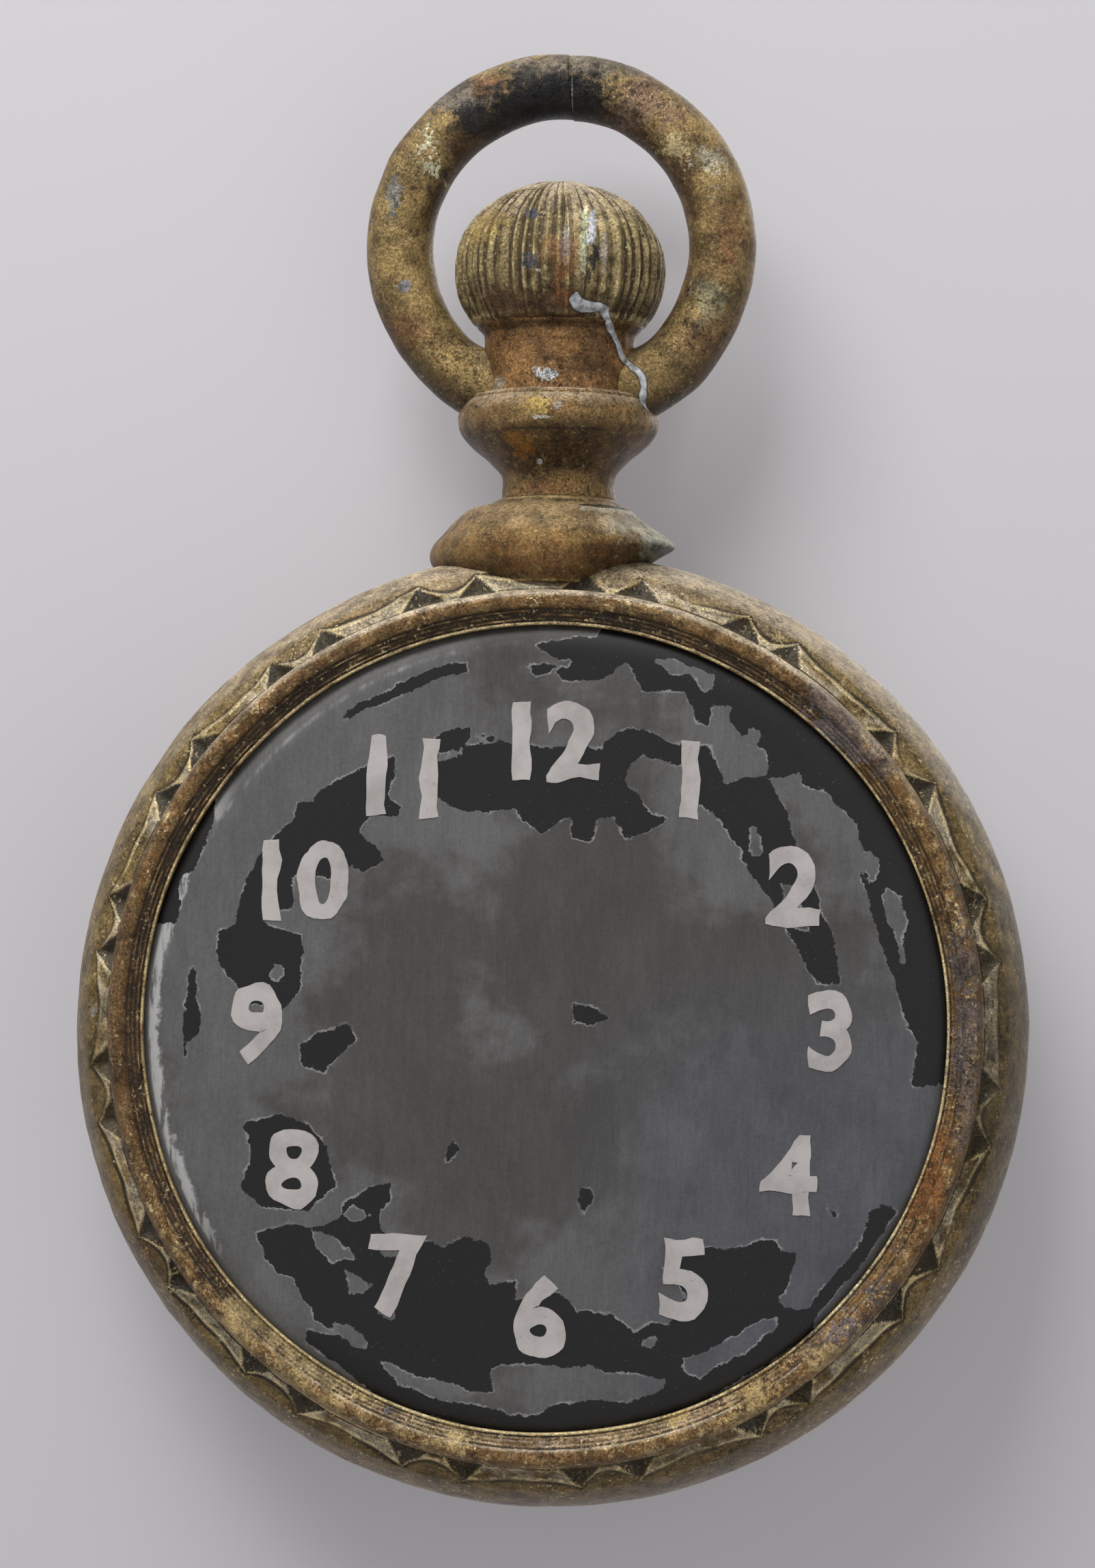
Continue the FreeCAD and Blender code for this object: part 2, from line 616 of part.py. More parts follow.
def anchor_plate():
    """Plate under the seam strap that spreads the rod's pull, curved on top to the rim."""
    roof = anchor_roof()
    corner = V(-ANCHOR_HALF_LENGTH, -ANCHOR_HALF_WIDTH, roof - ANCHOR_THICKNESS)
    block = Part.makeBox(2 * ANCHOR_HALF_LENGTH, 2 * ANCHOR_HALF_WIDTH, ANCHOR_THICKNESS, corner)
    rim = Part.makeCylinder(roof, 2 * ANCHOR_HALF_WIDTH, V(0, -ANCHOR_HALF_WIDTH, 0), DEPTH_AXIS)
    return block.common(rim).cut(rod_hole(roof - ANCHOR_THICKNESS, roof))


def tie_rod():
    bottom = anchor_roof() - ANCHOR_THICKNESS - NUT_HEIGHT - ROD_END_STICKOUT
    top = NECK_TOP_HEIGHT + WASHER_THICKNESS + NUT_HEIGHT + ROD_END_STICKOUT
    return Part.makeCylinder(ROD_RADIUS, top - bottom, V(0, 0, bottom), UP)


def hex_nut(height):
    corner = NUT_ACROSS_FLATS / math.sqrt(3)
    turns = [math.radians(60 * (i % 6)) for i in range(7)]
    points = [V(corner * math.cos(turn), corner * math.sin(turn), height) for turn in turns]
    block = Part.Face(Part.makePolygon(points)).extrude(V(0, 0, NUT_HEIGHT))
    return block.cut(Part.makeCylinder(ROD_RADIUS, NUT_HEIGHT, V(0, 0, height), UP))


def tie_rod_nuts():
    lower = hex_nut(anchor_roof() - ANCHOR_THICKNESS - NUT_HEIGHT)
    upper = hex_nut(NECK_TOP_HEIGHT + WASHER_THICKNESS)
    return Part.makeCompound([lower, upper])


def tie_rod_washer():
    disc = Part.makeCylinder(WASHER_RADIUS, WASHER_THICKNESS, V(0, 0, NECK_TOP_HEIGHT), UP)
    return disc.cut(rod_hole(NECK_TOP_HEIGHT, NECK_TOP_HEIGHT + WASHER_THICKNESS))


def repair_bead():
    """The crack's zigzag as a thin skin on the front of the neck, from under the crown to the bow."""
    foot = COLLAR_TOP_HEIGHT + BEAD_FOOT_RISE
    height = NECK_TOP_HEIGHT - BEAD_WIDTH / 2 - foot
    run = BEAD_END_SIDE - BEAD_START_SIDE
    route = [(0.0, 1.0), (0.43, 0.96), (0.55, 0.76), (0.74, 0.36), (0.83, 0.18), (1.0, 0.0)]
    centre = [V(BEAD_START_SIDE + run * across, 0, foot + height * up) for across, up in route]
    shift = V(BEAD_WIDTH / 2, 0, BEAD_WIDTH / 3)
    outline = [point.sub(shift) for point in centre] + [point.add(shift) for point in reversed(centre)]
    strip = Part.Face(Part.makePolygon(outline + [outline[0]])).extrude(V(0, -2 * NECK_RADIUS, 0))
    tube_height = NECK_TOP_HEIGHT - COLLAR_TOP_HEIGHT
    base = V(0, 0, COLLAR_TOP_HEIGHT)
    outside = Part.makeCylinder(NECK_RADIUS + BEAD_PROUD, tube_height, base, UP)
    inside = Part.makeCylinder(NECK_RADIUS + BEAD_CLEARANCE, tube_height, base, UP)
    return strip.common(outside.cut(inside))


def behind(shape):
    """The back's copy of a piece of the front."""
    return shape.mirror(CASE_MIDDLE, DEPTH_AXIS)


def build():
    envelope = case_envelope()
    front_shell = case_front_shell()
    front_bezel = bezel_front()
    front_dial = dial_front()
    front_clips = dial_clips_front()
    front_screws = bezel_screws_front()
    bow_right = bow_half(1)
    bead = repair_bead().cut(bow_right)
    return {
        "case_front_shell": front_shell,
        "case_back_shell": behind(front_shell),
        "seam_strap": seam_strap(),
        "bezel_front": front_bezel,
        "bezel_back": behind(front_bezel),
        "bezel_screws_front": front_screws,
        "bezel_screws_back": behind(front_screws),
        "dial_front": front_dial,
        "dial_back": behind(front_dial),
        "dial_clips_front": front_clips,
        "dial_clips_back": behind(front_clips),
        "saddle": saddle(envelope),
        "baluster": baluster(),
        "neck": neck(),
        "crown": crown(),
        "bow_left": bow_half(-1),
        "bow_right": bow_right,
        "bow_dowel": bow_dowel(0.0),
        "bow_pins": bow_pins(),
        "tie_rod": tie_rod(),
        "tie_rod_nuts": tie_rod_nuts(),
        "tie_rod_washer": tie_rod_washer(),
        "anchor_plate": anchor_plate(),
        "repair_bead": bead,
    }


os.makedirs("parts", exist_ok=True)
for name, shape in build().items():
    shape.translate(V(0, 0, -ORIGIN_HEIGHT))
    shape.exportStep("parts/" + name + ".step")
    print(name, "solids", len(shape.Solids), "volume", round(shape.Volume), "valid", shape.isValid())
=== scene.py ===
import math

import bmesh
import bpy
import numpy as np
from mathutils import Matrix, Vector
from mathutils.bvhtree import BVHTree


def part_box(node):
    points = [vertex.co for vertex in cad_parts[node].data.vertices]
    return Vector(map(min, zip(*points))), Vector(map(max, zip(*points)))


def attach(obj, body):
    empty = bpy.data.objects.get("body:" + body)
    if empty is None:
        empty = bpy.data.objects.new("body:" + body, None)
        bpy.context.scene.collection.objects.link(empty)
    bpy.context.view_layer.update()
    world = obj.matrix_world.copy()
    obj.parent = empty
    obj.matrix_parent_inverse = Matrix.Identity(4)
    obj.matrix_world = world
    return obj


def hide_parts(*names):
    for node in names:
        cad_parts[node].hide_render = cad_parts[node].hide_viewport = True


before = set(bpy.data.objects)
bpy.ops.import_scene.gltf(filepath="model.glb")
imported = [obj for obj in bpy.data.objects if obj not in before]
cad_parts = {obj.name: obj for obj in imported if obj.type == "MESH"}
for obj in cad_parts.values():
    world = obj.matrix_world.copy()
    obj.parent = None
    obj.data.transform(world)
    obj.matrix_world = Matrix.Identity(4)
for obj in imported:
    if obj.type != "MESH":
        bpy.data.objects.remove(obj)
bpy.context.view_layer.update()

MM = 0.001

# Places and radii read from the frame, in metres
SHELL_LOW, SHELL_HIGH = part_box("case_front_shell")
CASE_RADIUS = (SHELL_HIGH.x - SHELL_LOW.x) / 2
CASE_MIDDLE = (SHELL_HIGH.z + SHELL_LOW.z) / 2
COLLAR_LOW, COLLAR_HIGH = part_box("baluster")
NECK_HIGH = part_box("neck")[1]
CROWN_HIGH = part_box("crown")[1]
BOW_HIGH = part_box("bow_right")[1]

# The two faces of the sign and the two halves of the bow
FRONT, BACK = 1, -1
RIGHT, LEFT = 1, -1

# Case section: radius from the case's axis, depth from the seam
BAND_EDGE_RADIUS = 190.5 * MM
BAND_EDGE_DEPTH = 33.0 * MM
BORDER_INNER_RADIUS = 179.0 * MM
FACE_DEPTH = 42.0 * MM
CASE_WALL = 5.0 * MM
FLANGE_INNER_RADIUS = 168.0 * MM
FLANGE_BACK_DEPTH = 38.0 * MM
BAND_ARC_RADIUS = ((CASE_RADIUS - BAND_EDGE_RADIUS) ** 2 + BAND_EDGE_DEPTH ** 2) / (
    2 * (CASE_RADIUS - BAND_EDGE_RADIUS))
BAND_ARC_CENTRE = CASE_RADIUS - BAND_ARC_RADIUS
BORDER_WIDTH = math.hypot(BAND_EDGE_RADIUS - BORDER_INNER_RADIUS, FACE_DEPTH - BAND_EDGE_DEPTH)
CASE_STEPS = 1440
BAND_ROW, HIDDEN_ROW = -1.0, -2.0

# Notched border
NOTCH_PAIRS = 16
NOTCH_FIRST_ANGLE = 25.5
NOTCH_DRIFT = 7.0
NOTCH_SPACING = 7.4
NOTCH_HALF_BASE = 9.0 * MM
NOTCH_SLOPE = 0.85

# Bezel
BEZEL_OUTER_RADIUS = 180.4 * MM
BEZEL_INNER_RADIUS = 165.6 * MM
BEZEL_CREST_RADIUS = 176.4 * MM
BEZEL_GROOVE_RADIUS = 172.4 * MM
BEZEL_CREST_DEPTH = 49.5 * MM
BEZEL_LIP_DEPTH = 44.4 * MM
BEZEL_REEDS = 3
REED_ROWS = 8
LIP_HALF_WIDTH = 0.65 * MM
LIP_HEIGHT = 0.8 * MM
BEZEL_STEPS = 1080

# Dial
DIAL_TOP_DEPTH = 45.0 * MM
DIAL_FACE_RADIUS = 152.0 * MM
DIAL_FACE_DROP = 1.0 * MM
DIAL_ROLL_RADIUS = 167.0 * MM
DIAL_SHEET = 1.2 * MM
# Radii of the pale band on the left of the rolled edge: rubbed metal and painted highlight
DIAL_EDGE_RUBBED_LIT_START, DIAL_EDGE_RUBBED_LIT_END = 0.1580, 0.1640
DIAL_BEND_START, DIAL_BEND_END = 0.1570, 0.1602
DIAL_LIFT = 0.25 * MM
DIAL_STEPS = 720
DIAL_SEED = {FRONT: 31, BACK: 47}
PAINT_REACH = 40.0
BACK_PATCH_ALONG, BACK_PATCH_ASIDE = 0.62, 0.78

# Bow
BOW_TUBE_RADIUS = 14.5 * MM
BOW_ROOT_RADIUS = 17.5 * MM
BOW_MEAN_RADIUS = BOW_HIGH.x - BOW_TUBE_RADIUS
BOW_CENTRE = BOW_HIGH.z - BOW_TUBE_RADIUS - BOW_MEAN_RADIUS
BOW_ROOT_START = math.radians(50.0)
BOW_ROOT_END = math.radians(12.0)
BOW_JOINT = 3.4 * MM
BOW_JOINT_LEAN = 1.2 * MM
BOW_JOINT_STEP = 0.45 * MM
BOW_JOINT_GAP = 0.002 * MM
BOW_RINGS = 230
BOW_STEPS = 120

# Pendant
NECK_RADIUS = NECK_HIGH.x
COLLAR_TOP = CASE_MIDDLE + 264.6 * MM
CROWN_RADIUS = CROWN_HIGH.x
CROWN_BELLY = CASE_MIDDLE + 319.0 * MM
CROWN_FOOT = CASE_MIDDLE + 294.5 * MM
CROWN_TOP = CASE_MIDDLE + 356.0 * MM
CROWN_FOOT_RADIUS = 36.0 * MM
CROWN_FLUTES = 48
CROWN_FLUTE_DEPTH = 1.9 * MM
CROWN_STEPS = 1400
SADDLE_HALF_DEPTH = 48.0 * MM
SADDLE_WALL = 4.5 * MM
SADDLE_STEPS = 360
SADDLE_LEVELS = 61
SEAT_RADIUS = 24.6 * MM
COLLAR_STEPS = 360
NECK_STEPS = 300


def srgb(red, green, blue):
    """A colour as it is read off a screen, 0 to 255, as Blender's linear values."""
    def linear(value):
        share = value / 255.0
        return share / 12.92 if share <= 0.04045 else ((share + 0.055) / 1.055) ** 2.4
    return (linear(red), linear(green), linear(blue), 1.0)


# Paint and metal colours
DARK_BROWN = srgb(70, 50, 32)
ORANGE_BROWN = srgb(156, 106, 44)
GILT = srgb(206, 184, 128)
# Pale gilt of the bezel's lip, partly painted highlight
PALE_GILT_AND_HIGHLIGHT = srgb(226, 210, 166)
GRIME = srgb(38, 33, 26)
# Pale dust, also laid on as painted top light on upward faces
DUST_AND_TOP_LIGHT = srgb(196, 178, 152)
# Dark brown for painted shade on downward faces
UNDERSIDE_SHADE = srgb(58, 42, 26)
ZINC = srgb(122, 124, 132)
CREAM = srgb(204, 200, 168)
BLUE_GREY = srgb(84, 90, 100)
BLUE_BLACK = srgb(38, 38, 41)
WORN_PANEL = srgb(176, 164, 140)
DIAL_BLACK = srgb(22, 21, 21)
DIAL_GREY = srgb(94, 93, 92)
DIAL_GREY_DARK = srgb(74, 72, 69)
DIAL_GREY_BLUE = srgb(79, 80, 86)
# Pale of the rolled edge on the left: rubbed metal and painted highlight
DIAL_EDGE_RUBBED_AND_LIT = srgb(184, 184, 182)
FLAKE_EDGE = srgb(160, 159, 157)
NUMBER_PAINT = srgb(182, 176, 172)
NUMBER_PAINT_DULL = srgb(160, 154, 150)
NUMBER_SPECK = srgb(110, 102, 96)
SOLDER_DULL = srgb(128, 131, 132)
SOLDER_BRIGHT = srgb(196, 198, 198)
ZINC_DULL = srgb(110, 112, 114)
ZINC_STAIN = srgb(86, 86, 84)
IRON = srgb(88, 84, 80)
RUST = srgb(104, 66, 42)
WALL_TOP = srgb(206, 203, 207)
WALL_BOTTOM = srgb(199, 196, 200)


# The camera stands where the photograph was taken: a little to the right and below the middle
CAMERA_AZIMUTH = math.radians(4.22)
CAMERA_ELEVATION = math.radians(-2.77)
CAMERA_ROLL = math.radians(0.786)
CAMERA_DISTANCE = 2.296
CAMERA_TARGET = Vector((-0.0027, 0.0, -0.2795))
CAMERA_LENS = 125.8
SENSOR_WIDTH = 36.0


def make_camera():
    """The camera that frames the sign as the photograph does."""
    data = bpy.data.cameras.new("photo_camera")
    data.sensor_width = SENSOR_WIDTH
    data.lens = CAMERA_LENS
    camera = bpy.data.objects.new("photo_camera", data)
    bpy.context.collection.objects.link(camera)
    back = Vector((
        math.sin(CAMERA_AZIMUTH) * math.cos(CAMERA_ELEVATION),
        -math.cos(CAMERA_AZIMUTH) * math.cos(CAMERA_ELEVATION),
        math.sin(CAMERA_ELEVATION)))
    level = Vector((math.cos(CAMERA_AZIMUTH), math.sin(CAMERA_AZIMUTH), 0.0))
    upright = back.cross(level)
    right = level * math.cos(CAMERA_ROLL) + upright * math.sin(CAMERA_ROLL)
    up = back.cross(right)
    turn = Matrix((right, up, back)).transposed().to_4x4()
    camera.matrix_world = Matrix.Translation(CAMERA_TARGET + back * CAMERA_DISTANCE) @ turn
    data.clip_start = 0.01
    data.clip_end = 50.0
    bpy.context.scene.camera = camera


class Nodes:
    """Short calls for building one node tree."""

    def __init__(self, tree):
        self.tree = tree

    def add(self, kind, **settings):
        node = self.tree.nodes.new(kind)
        for name, value in settings.items():
            setattr(node, name, value)
        return node

    def put(self, socket, value):
        if isinstance(value, bpy.types.NodeSocket):
            self.tree.links.new(value, socket)
        elif value is not None:
            socket.default_value = value

    def math(self, operation, a, b=None, clamp=False):
        node = self.add("ShaderNodeMath", operation=operation, use_clamp=clamp)
        self.put(node.inputs[0], a)
        self.put(node.inputs[1], b)
        return node.outputs[0]

    def vector(self, operation, a, b=None):
        node = self.add("ShaderNodeVectorMath", operation=operation)
        self.put(node.inputs[0], a)
        self.put(node.inputs[1], b)
        return node.outputs["Value" if operation in ("LENGTH", "DOT_PRODUCT") else "Vector"]

    def noise(self, place, scale, detail, roughness, distortion=0.0):
        node = self.add("ShaderNodeTexNoise")
        self.put(node.inputs["Vector"], place)
        self.put(node.inputs["Scale"], scale)
        self.put(node.inputs["Detail"], detail)
        self.put(node.inputs["Roughness"], roughness)
        self.put(node.inputs["Distortion"], distortion)
        return node.outputs["Fac"]

    def span(self, value, low, high, to_low=0.0, to_high=1.0):
        node = self.add("ShaderNodeMapRange", interpolation_type="SMOOTHSTEP")
        for socket, number in zip(node.inputs, (value, low, high, to_low, to_high)):
            self.put(socket, number)
        return node.outputs[0]

    def blend(self, share, a, b):
        node = self.add("ShaderNodeMix", data_type="RGBA", clamp_factor=True)
        self.put(node.inputs["Factor"], share)
        self.put(node.inputs[6], a)
        self.put(node.inputs[7], b)
        return node.outputs[2]

    def apart(self, vector):
        node = self.add("ShaderNodeSeparateXYZ")
        self.put(node.inputs[0], vector)
        return node.outputs

    def join(self, x, y, z):
        node = self.add("ShaderNodeCombineXYZ")
        for socket, value in zip(node.inputs, (x, y, z)):
            self.put(socket, value)
        return node.outputs[0]

    def attribute(self, name):
        return self.add("ShaderNodeAttribute", attribute_name=name).outputs["Fac"]

    def place(self):
        return self.add("ShaderNodeTexCoord").outputs["Object"]

    def group(self, tree, **values):
        node = self.add("ShaderNodeGroup", node_tree=tree)
        for name, value in values.items():
            self.put(node.inputs[name.replace("_", " ")], value)
        return node.outputs


SOCKETS = {"value": "NodeSocketFloat", "colour": "NodeSocketColor", "vector": "NodeSocketVector"}


def new_group(name, takes, gives):
    """A shader node group with named inputs and outputs; returns its nodes, inputs and output node."""
    tree = bpy.data.node_groups.new(name, "ShaderNodeTree")
    for title, kind in takes:
        tree.interface.new_socket(name=title, in_out="INPUT", socket_type=SOCKETS[kind])
    for title, kind in gives:
        tree.interface.new_socket(name=title, in_out="OUTPUT", socket_type=SOCKETS[kind])
    nodes = Nodes(tree)
    entry = nodes.add("NodeGroupInput").outputs
    leave = nodes.add("NodeGroupOutput").inputs
    return nodes, entry, leave


def patch_group():
    """Ragged patches scattered over a surface: Amount 0 gives none, 1 covers it all."""
    nodes, entry, leave = new_group(
        "ragged_patches",
        [("Place", "vector"), ("Scale", "value"), ("Amount", "value"), ("Softness", "value")],
        [("Mask", "value")])
    broad = nodes.noise(entry["Place"], entry["Scale"], 3.0, 0.6, 0.4)
    fine = nodes.noise(entry["Place"], nodes.math("MULTIPLY", entry["Scale"], 7.0), 4.0, 0.65)
    total = nodes.math("ADD", broad, nodes.math("MULTIPLY", nodes.math("SUBTRACT", fine, 0.5), 0.35))
    edge = nodes.span(entry["Amount"], 0.0, 1.0, 0.82, 0.18)
    top = nodes.math("ADD", edge, entry["Softness"])
    nodes.put(leave["Mask"], nodes.span(total, edge, top))
    return nodes.tree


def spot_group():
    """One patch at a given place, with a ragged edge."""
    nodes, entry, leave = new_group(
        "spot", [("Place", "vector"), ("Centre", "vector"), ("Size", "vector"), ("Ragged", "value"),
                 ("Softness", "value")],
        [("Mask", "value")])
    offset = nodes.vector("SUBTRACT", entry["Place"], entry["Centre"])
    distance = nodes.vector("LENGTH", nodes.vector("DIVIDE", offset, entry["Size"]))
    rough = nodes.math("SUBTRACT", nodes.noise(entry["Place"], 70.0, 2.0, 0.5), 0.5)
    fine = nodes.math("SUBTRACT", nodes.noise(entry["Place"], 420.0, 4.0, 0.7), 0.5)
    uneven = nodes.math("MULTIPLY", nodes.math("ADD", rough, fine), entry["Ragged"])
    reach = nodes.math("ADD", distance, uneven)
    nodes.put(leave["Mask"], nodes.span(reach, 1.0, nodes.math("SUBTRACT", 1.0, entry["Softness"])))
    return nodes.tree


def from_case_middle(nodes, place):
    """Across, depth and height of a place from the case's middle, and its radius about the case's axis."""
    x, y, z = nodes.apart(place)
    up = nodes.math("SUBTRACT", z, CASE_MIDDLE)
    squares = nodes.math("ADD", nodes.math("POWER", x, 2.0), nodes.math("POWER", up, 2.0))
    return x, y, up, nodes.math("SQRT", squares)


def round_case_group():
    """Coordinates that run round the case, so that a pattern can be drawn out along the rim."""
    nodes, entry, leave = new_group(
        "round_the_case", [("Place", "vector"), ("Length", "value")], [("Drawn", "vector")])
    x, y, up, radius = from_case_middle(nodes, entry["Place"])
    run = nodes.math("MULTIPLY", radius, entry["Length"])
    nodes.put(leave["Drawn"], nodes.join(
        nodes.math("DIVIDE", x, run),
        nodes.math("MULTIPLY", nodes.math("ADD", nodes.math("MULTIPLY", radius, 1.7), y), 60.0),
        nodes.math("DIVIDE", up, run)))
    return nodes.tree


def casting_group():
    """Old bronze paint on cast zinc: paint tones, rubbed edges, bare metal, dust with painted top light on
    upward faces, painted shade on downward faces, dirt with painted shade in hollows.
    """
    nodes, entry, leave = new_group(
        "old_bronze_paint",
        [("Place", "vector"), ("Drawn", "vector"),
         ("Edge", "value"), ("Hollow", "value"), ("Worn", "value"), ("Upward", "value"),
         ("Paint", "colour"), ("Second", "colour"), ("Third", "colour"), ("Rubbed", "colour"),
         ("Bare", "colour"), ("Worn Tone", "colour"), ("Dirt", "colour"),
         ("Second Amount", "value"), ("Third Amount", "value"), ("Rub", "value"), ("Bare Amount", "value"),
         ("Streaks", "value"), ("Dust", "value"), ("Shade", "value")],
        [("Color", "colour"), ("Roughness", "value"), ("Metallic", "value"), ("Height", "value"),
         ("Texture", "value")])
    place = entry["Place"]
    second = nodes.group(
        PATCHES, Place=place, Scale=17.0, Amount=entry["Second Amount"], Softness=0.26)["Mask"]
    third = nodes.group(
        PATCHES, Place=nodes.vector("ADD", place, (0.31, 0.17, 0.77)), Scale=34.0,
        Amount=entry["Third Amount"], Softness=0.18)["Mask"]
    bare = nodes.group(
        PATCHES, Place=nodes.vector("ADD", place, (1.31, 2.17, 0.27)), Scale=85.0,
        Amount=entry["Bare Amount"], Softness=0.03)["Mask"]
    colour = nodes.blend(nodes.math("MULTIPLY", second, 0.9), entry["Paint"], entry["Second"])
    colour = nodes.blend(nodes.math("MULTIPLY", third, 0.75), colour, entry["Third"])
    streak = nodes.noise(entry["Drawn"], 5.0, 5.0, 0.65)
    streak_share = nodes.math("MULTIPLY", nodes.span(streak, 0.48, 0.62), entry["Streaks"])
    colour = nodes.blend(streak_share, colour, entry["Third"])
    # Upward faces turn towards the pale dust colour: real dust, and painted top light where light falls
    # from above
    dust_noise = nodes.noise(place, 90.0, 5.0, 0.65)
    half_dust = nodes.math("MULTIPLY", dust_noise, 0.5)
    dust = nodes.span(nodes.math("ADD", entry["Upward"], half_dust), 0.55, 1.25)
    colour = nodes.blend(nodes.math("MULTIPLY", dust, entry["Dust"]), colour, DUST_AND_TOP_LIGHT)
    worn_noise = nodes.noise(place, 150.0, 5.0, 0.7)
    worn = nodes.span(nodes.math("MULTIPLY", entry["Worn"], nodes.math("ADD", worn_noise, 0.5)), 0.35, 0.85)
    colour = nodes.blend(nodes.math("MULTIPLY", worn, 0.85), colour, entry["Worn Tone"])
    # Downward faces turn dark brown, by the Shade amount: painted shade
    below = nodes.span(nodes.math("SUBTRACT", half_dust, entry["Upward"]), 0.22, 1.0)
    colour = nodes.blend(nodes.math("MULTIPLY", below, entry["Shade"]), colour, UNDERSIDE_SHADE)
    mottle = nodes.noise(place, 100.0, 6.0, 0.68)
    grain = nodes.noise(place, 900.0, 3.0, 0.65)
    shade = nodes.math(
        "MULTIPLY", nodes.span(mottle, 0.32, 0.68, 0.52, 1.48), nodes.span(grain, 0.3, 0.7, 0.60, 1.40))
    flaky = nodes.span(nodes.noise(place, 38.0, 4.0, 0.6), 0.40, 0.62)
    flaky = nodes.math("ADD", nodes.math("MULTIPLY", flaky, 0.8), 0.2)
    flake = nodes.noise(nodes.vector("ADD", place, (0.7, 0.2, 0.4)), 340.0, 6.0, 0.78)
    raised = nodes.math("MULTIPLY", nodes.span(flake, 0.55, 0.60), flaky)
    lost = nodes.math("MULTIPLY", nodes.span(flake, 0.45, 0.40), flaky)
    shade = nodes.math("MULTIPLY", shade, nodes.math("ADD", 1.0, nodes.math("MULTIPLY", raised, 0.55)))
    shade = nodes.math("MULTIPLY", shade, nodes.math("SUBTRACT", 1.0, nodes.math("MULTIPLY", lost, 0.60)))
    nodes.put(leave["Texture"], shade)
    colour = nodes.vector("MULTIPLY", colour, nodes.join(shade, shade, shade))
    colour = nodes.blend(nodes.math("MULTIPLY", raised, 0.22), colour, entry["Rubbed"])
    # Dirt from noise and from the hollow mark: real dirt, and painted shade in hollows, flute valleys, reed
    # grooves and notch pits
    grime_noise = nodes.noise(place, 260.0, 5.0, 0.7)
    grime_and_shade = nodes.math("ADD", entry["Hollow"], nodes.math("MULTIPLY", grime_noise, 0.9))
    grime_and_shade = nodes.span(grime_and_shade, 0.60, 1.05)
    colour = nodes.blend(nodes.math("MULTIPLY", grime_and_shade, 0.85), colour, entry["Dirt"])
    speck = nodes.noise(place, 620.0, 3.0, 0.6)
    dark_specks = nodes.span(speck, 0.36, 0.30)
    colour = nodes.blend(nodes.math("MULTIPLY", dark_specks, 0.6), colour, entry["Dirt"])
    rub_noise = nodes.noise(place, 130.0, 6.0, 0.75)
    rub = nodes.span(
        nodes.math("ADD", nodes.math("MULTIPLY", entry["Edge"], 0.34), rub_noise), 0.70, 0.90)
    rub = nodes.math("MULTIPLY", rub, entry["Rub"], clamp=True)
    gilt_specks = nodes.math("MULTIPLY", nodes.span(speck, 0.58, 0.63), nodes.span(rub_noise, 0.48, 0.58))
    rub = nodes.math("MAXIMUM", rub, nodes.math("MULTIPLY", gilt_specks, entry["Rub"]))
    colour = nodes.blend(bare, colour, entry["Bare"])
    colour = nodes.blend(rub, colour, entry["Rubbed"])
    nodes.put(leave["Color"], colour)
    dull = nodes.math("MAXIMUM", grime_and_shade, dust)
    rough = nodes.span(grain, 0.3, 0.7, 0.26, 0.54)
    rough = nodes.math("ADD", rough, nodes.math("MULTIPLY", dull, 0.14))
    rough = nodes.math("SUBTRACT", rough, nodes.math("MULTIPLY", rub, 0.14), clamp=True)
    nodes.put(leave["Roughness"], rough)
    metal = nodes.math("ADD", 0.36, nodes.math("MULTIPLY", rub, 0.30))
    metal = nodes.math("SUBTRACT", metal, nodes.math("MULTIPLY", dull, 0.3), clamp=True)
    nodes.put(leave["Metallic"], metal)
    height = nodes.math("ADD", nodes.math("MULTIPLY", grime_noise, 0.6), nodes.math("MULTIPLY", grain, 0.5))
    height = nodes.math("ADD", height, nodes.math("MULTIPLY", nodes.math("SUBTRACT", raised, lost), 0.45))
    height = nodes.math("SUBTRACT", height, nodes.math("MULTIPLY", bare, 0.3))
    drawn_lines = nodes.math("MULTIPLY", streak, nodes.math("MULTIPLY", entry["Streaks"], 0.8))
    nodes.put(leave["Height"], nodes.math("ADD", height, drawn_lines))
    return nodes.tree


PATCHES = patch_group()
SPOT = spot_group()
DEFAULT_SOFTNESS = 0.18
ROUND_CASE = round_case_group()
CASTING = casting_group()


def new_material(name):
    """A material with a Principled shader; returns it, its nodes and the shader."""
    material = bpy.data.materials.new(name)
    material.use_nodes = True
    tree = material.node_tree
    tree.nodes.clear()
    nodes = Nodes(tree)
    shader = nodes.add("ShaderNodeBsdfPrincipled")
    output = nodes.add("ShaderNodeOutputMaterial")
    nodes.put(output.inputs["Surface"], shader.outputs[0])
    return material, nodes, shader


def bump(nodes, shader, height, distance, strength):
    """Small relief in the surface itself, at most distance metres high."""
    node = nodes.add("ShaderNodeBump")
    node.inputs["Strength"].default_value = strength
    node.inputs["Distance"].default_value = distance
    nodes.put(node.inputs["Height"], height)
    nodes.put(shader.inputs["Normal"], node.outputs["Normal"])


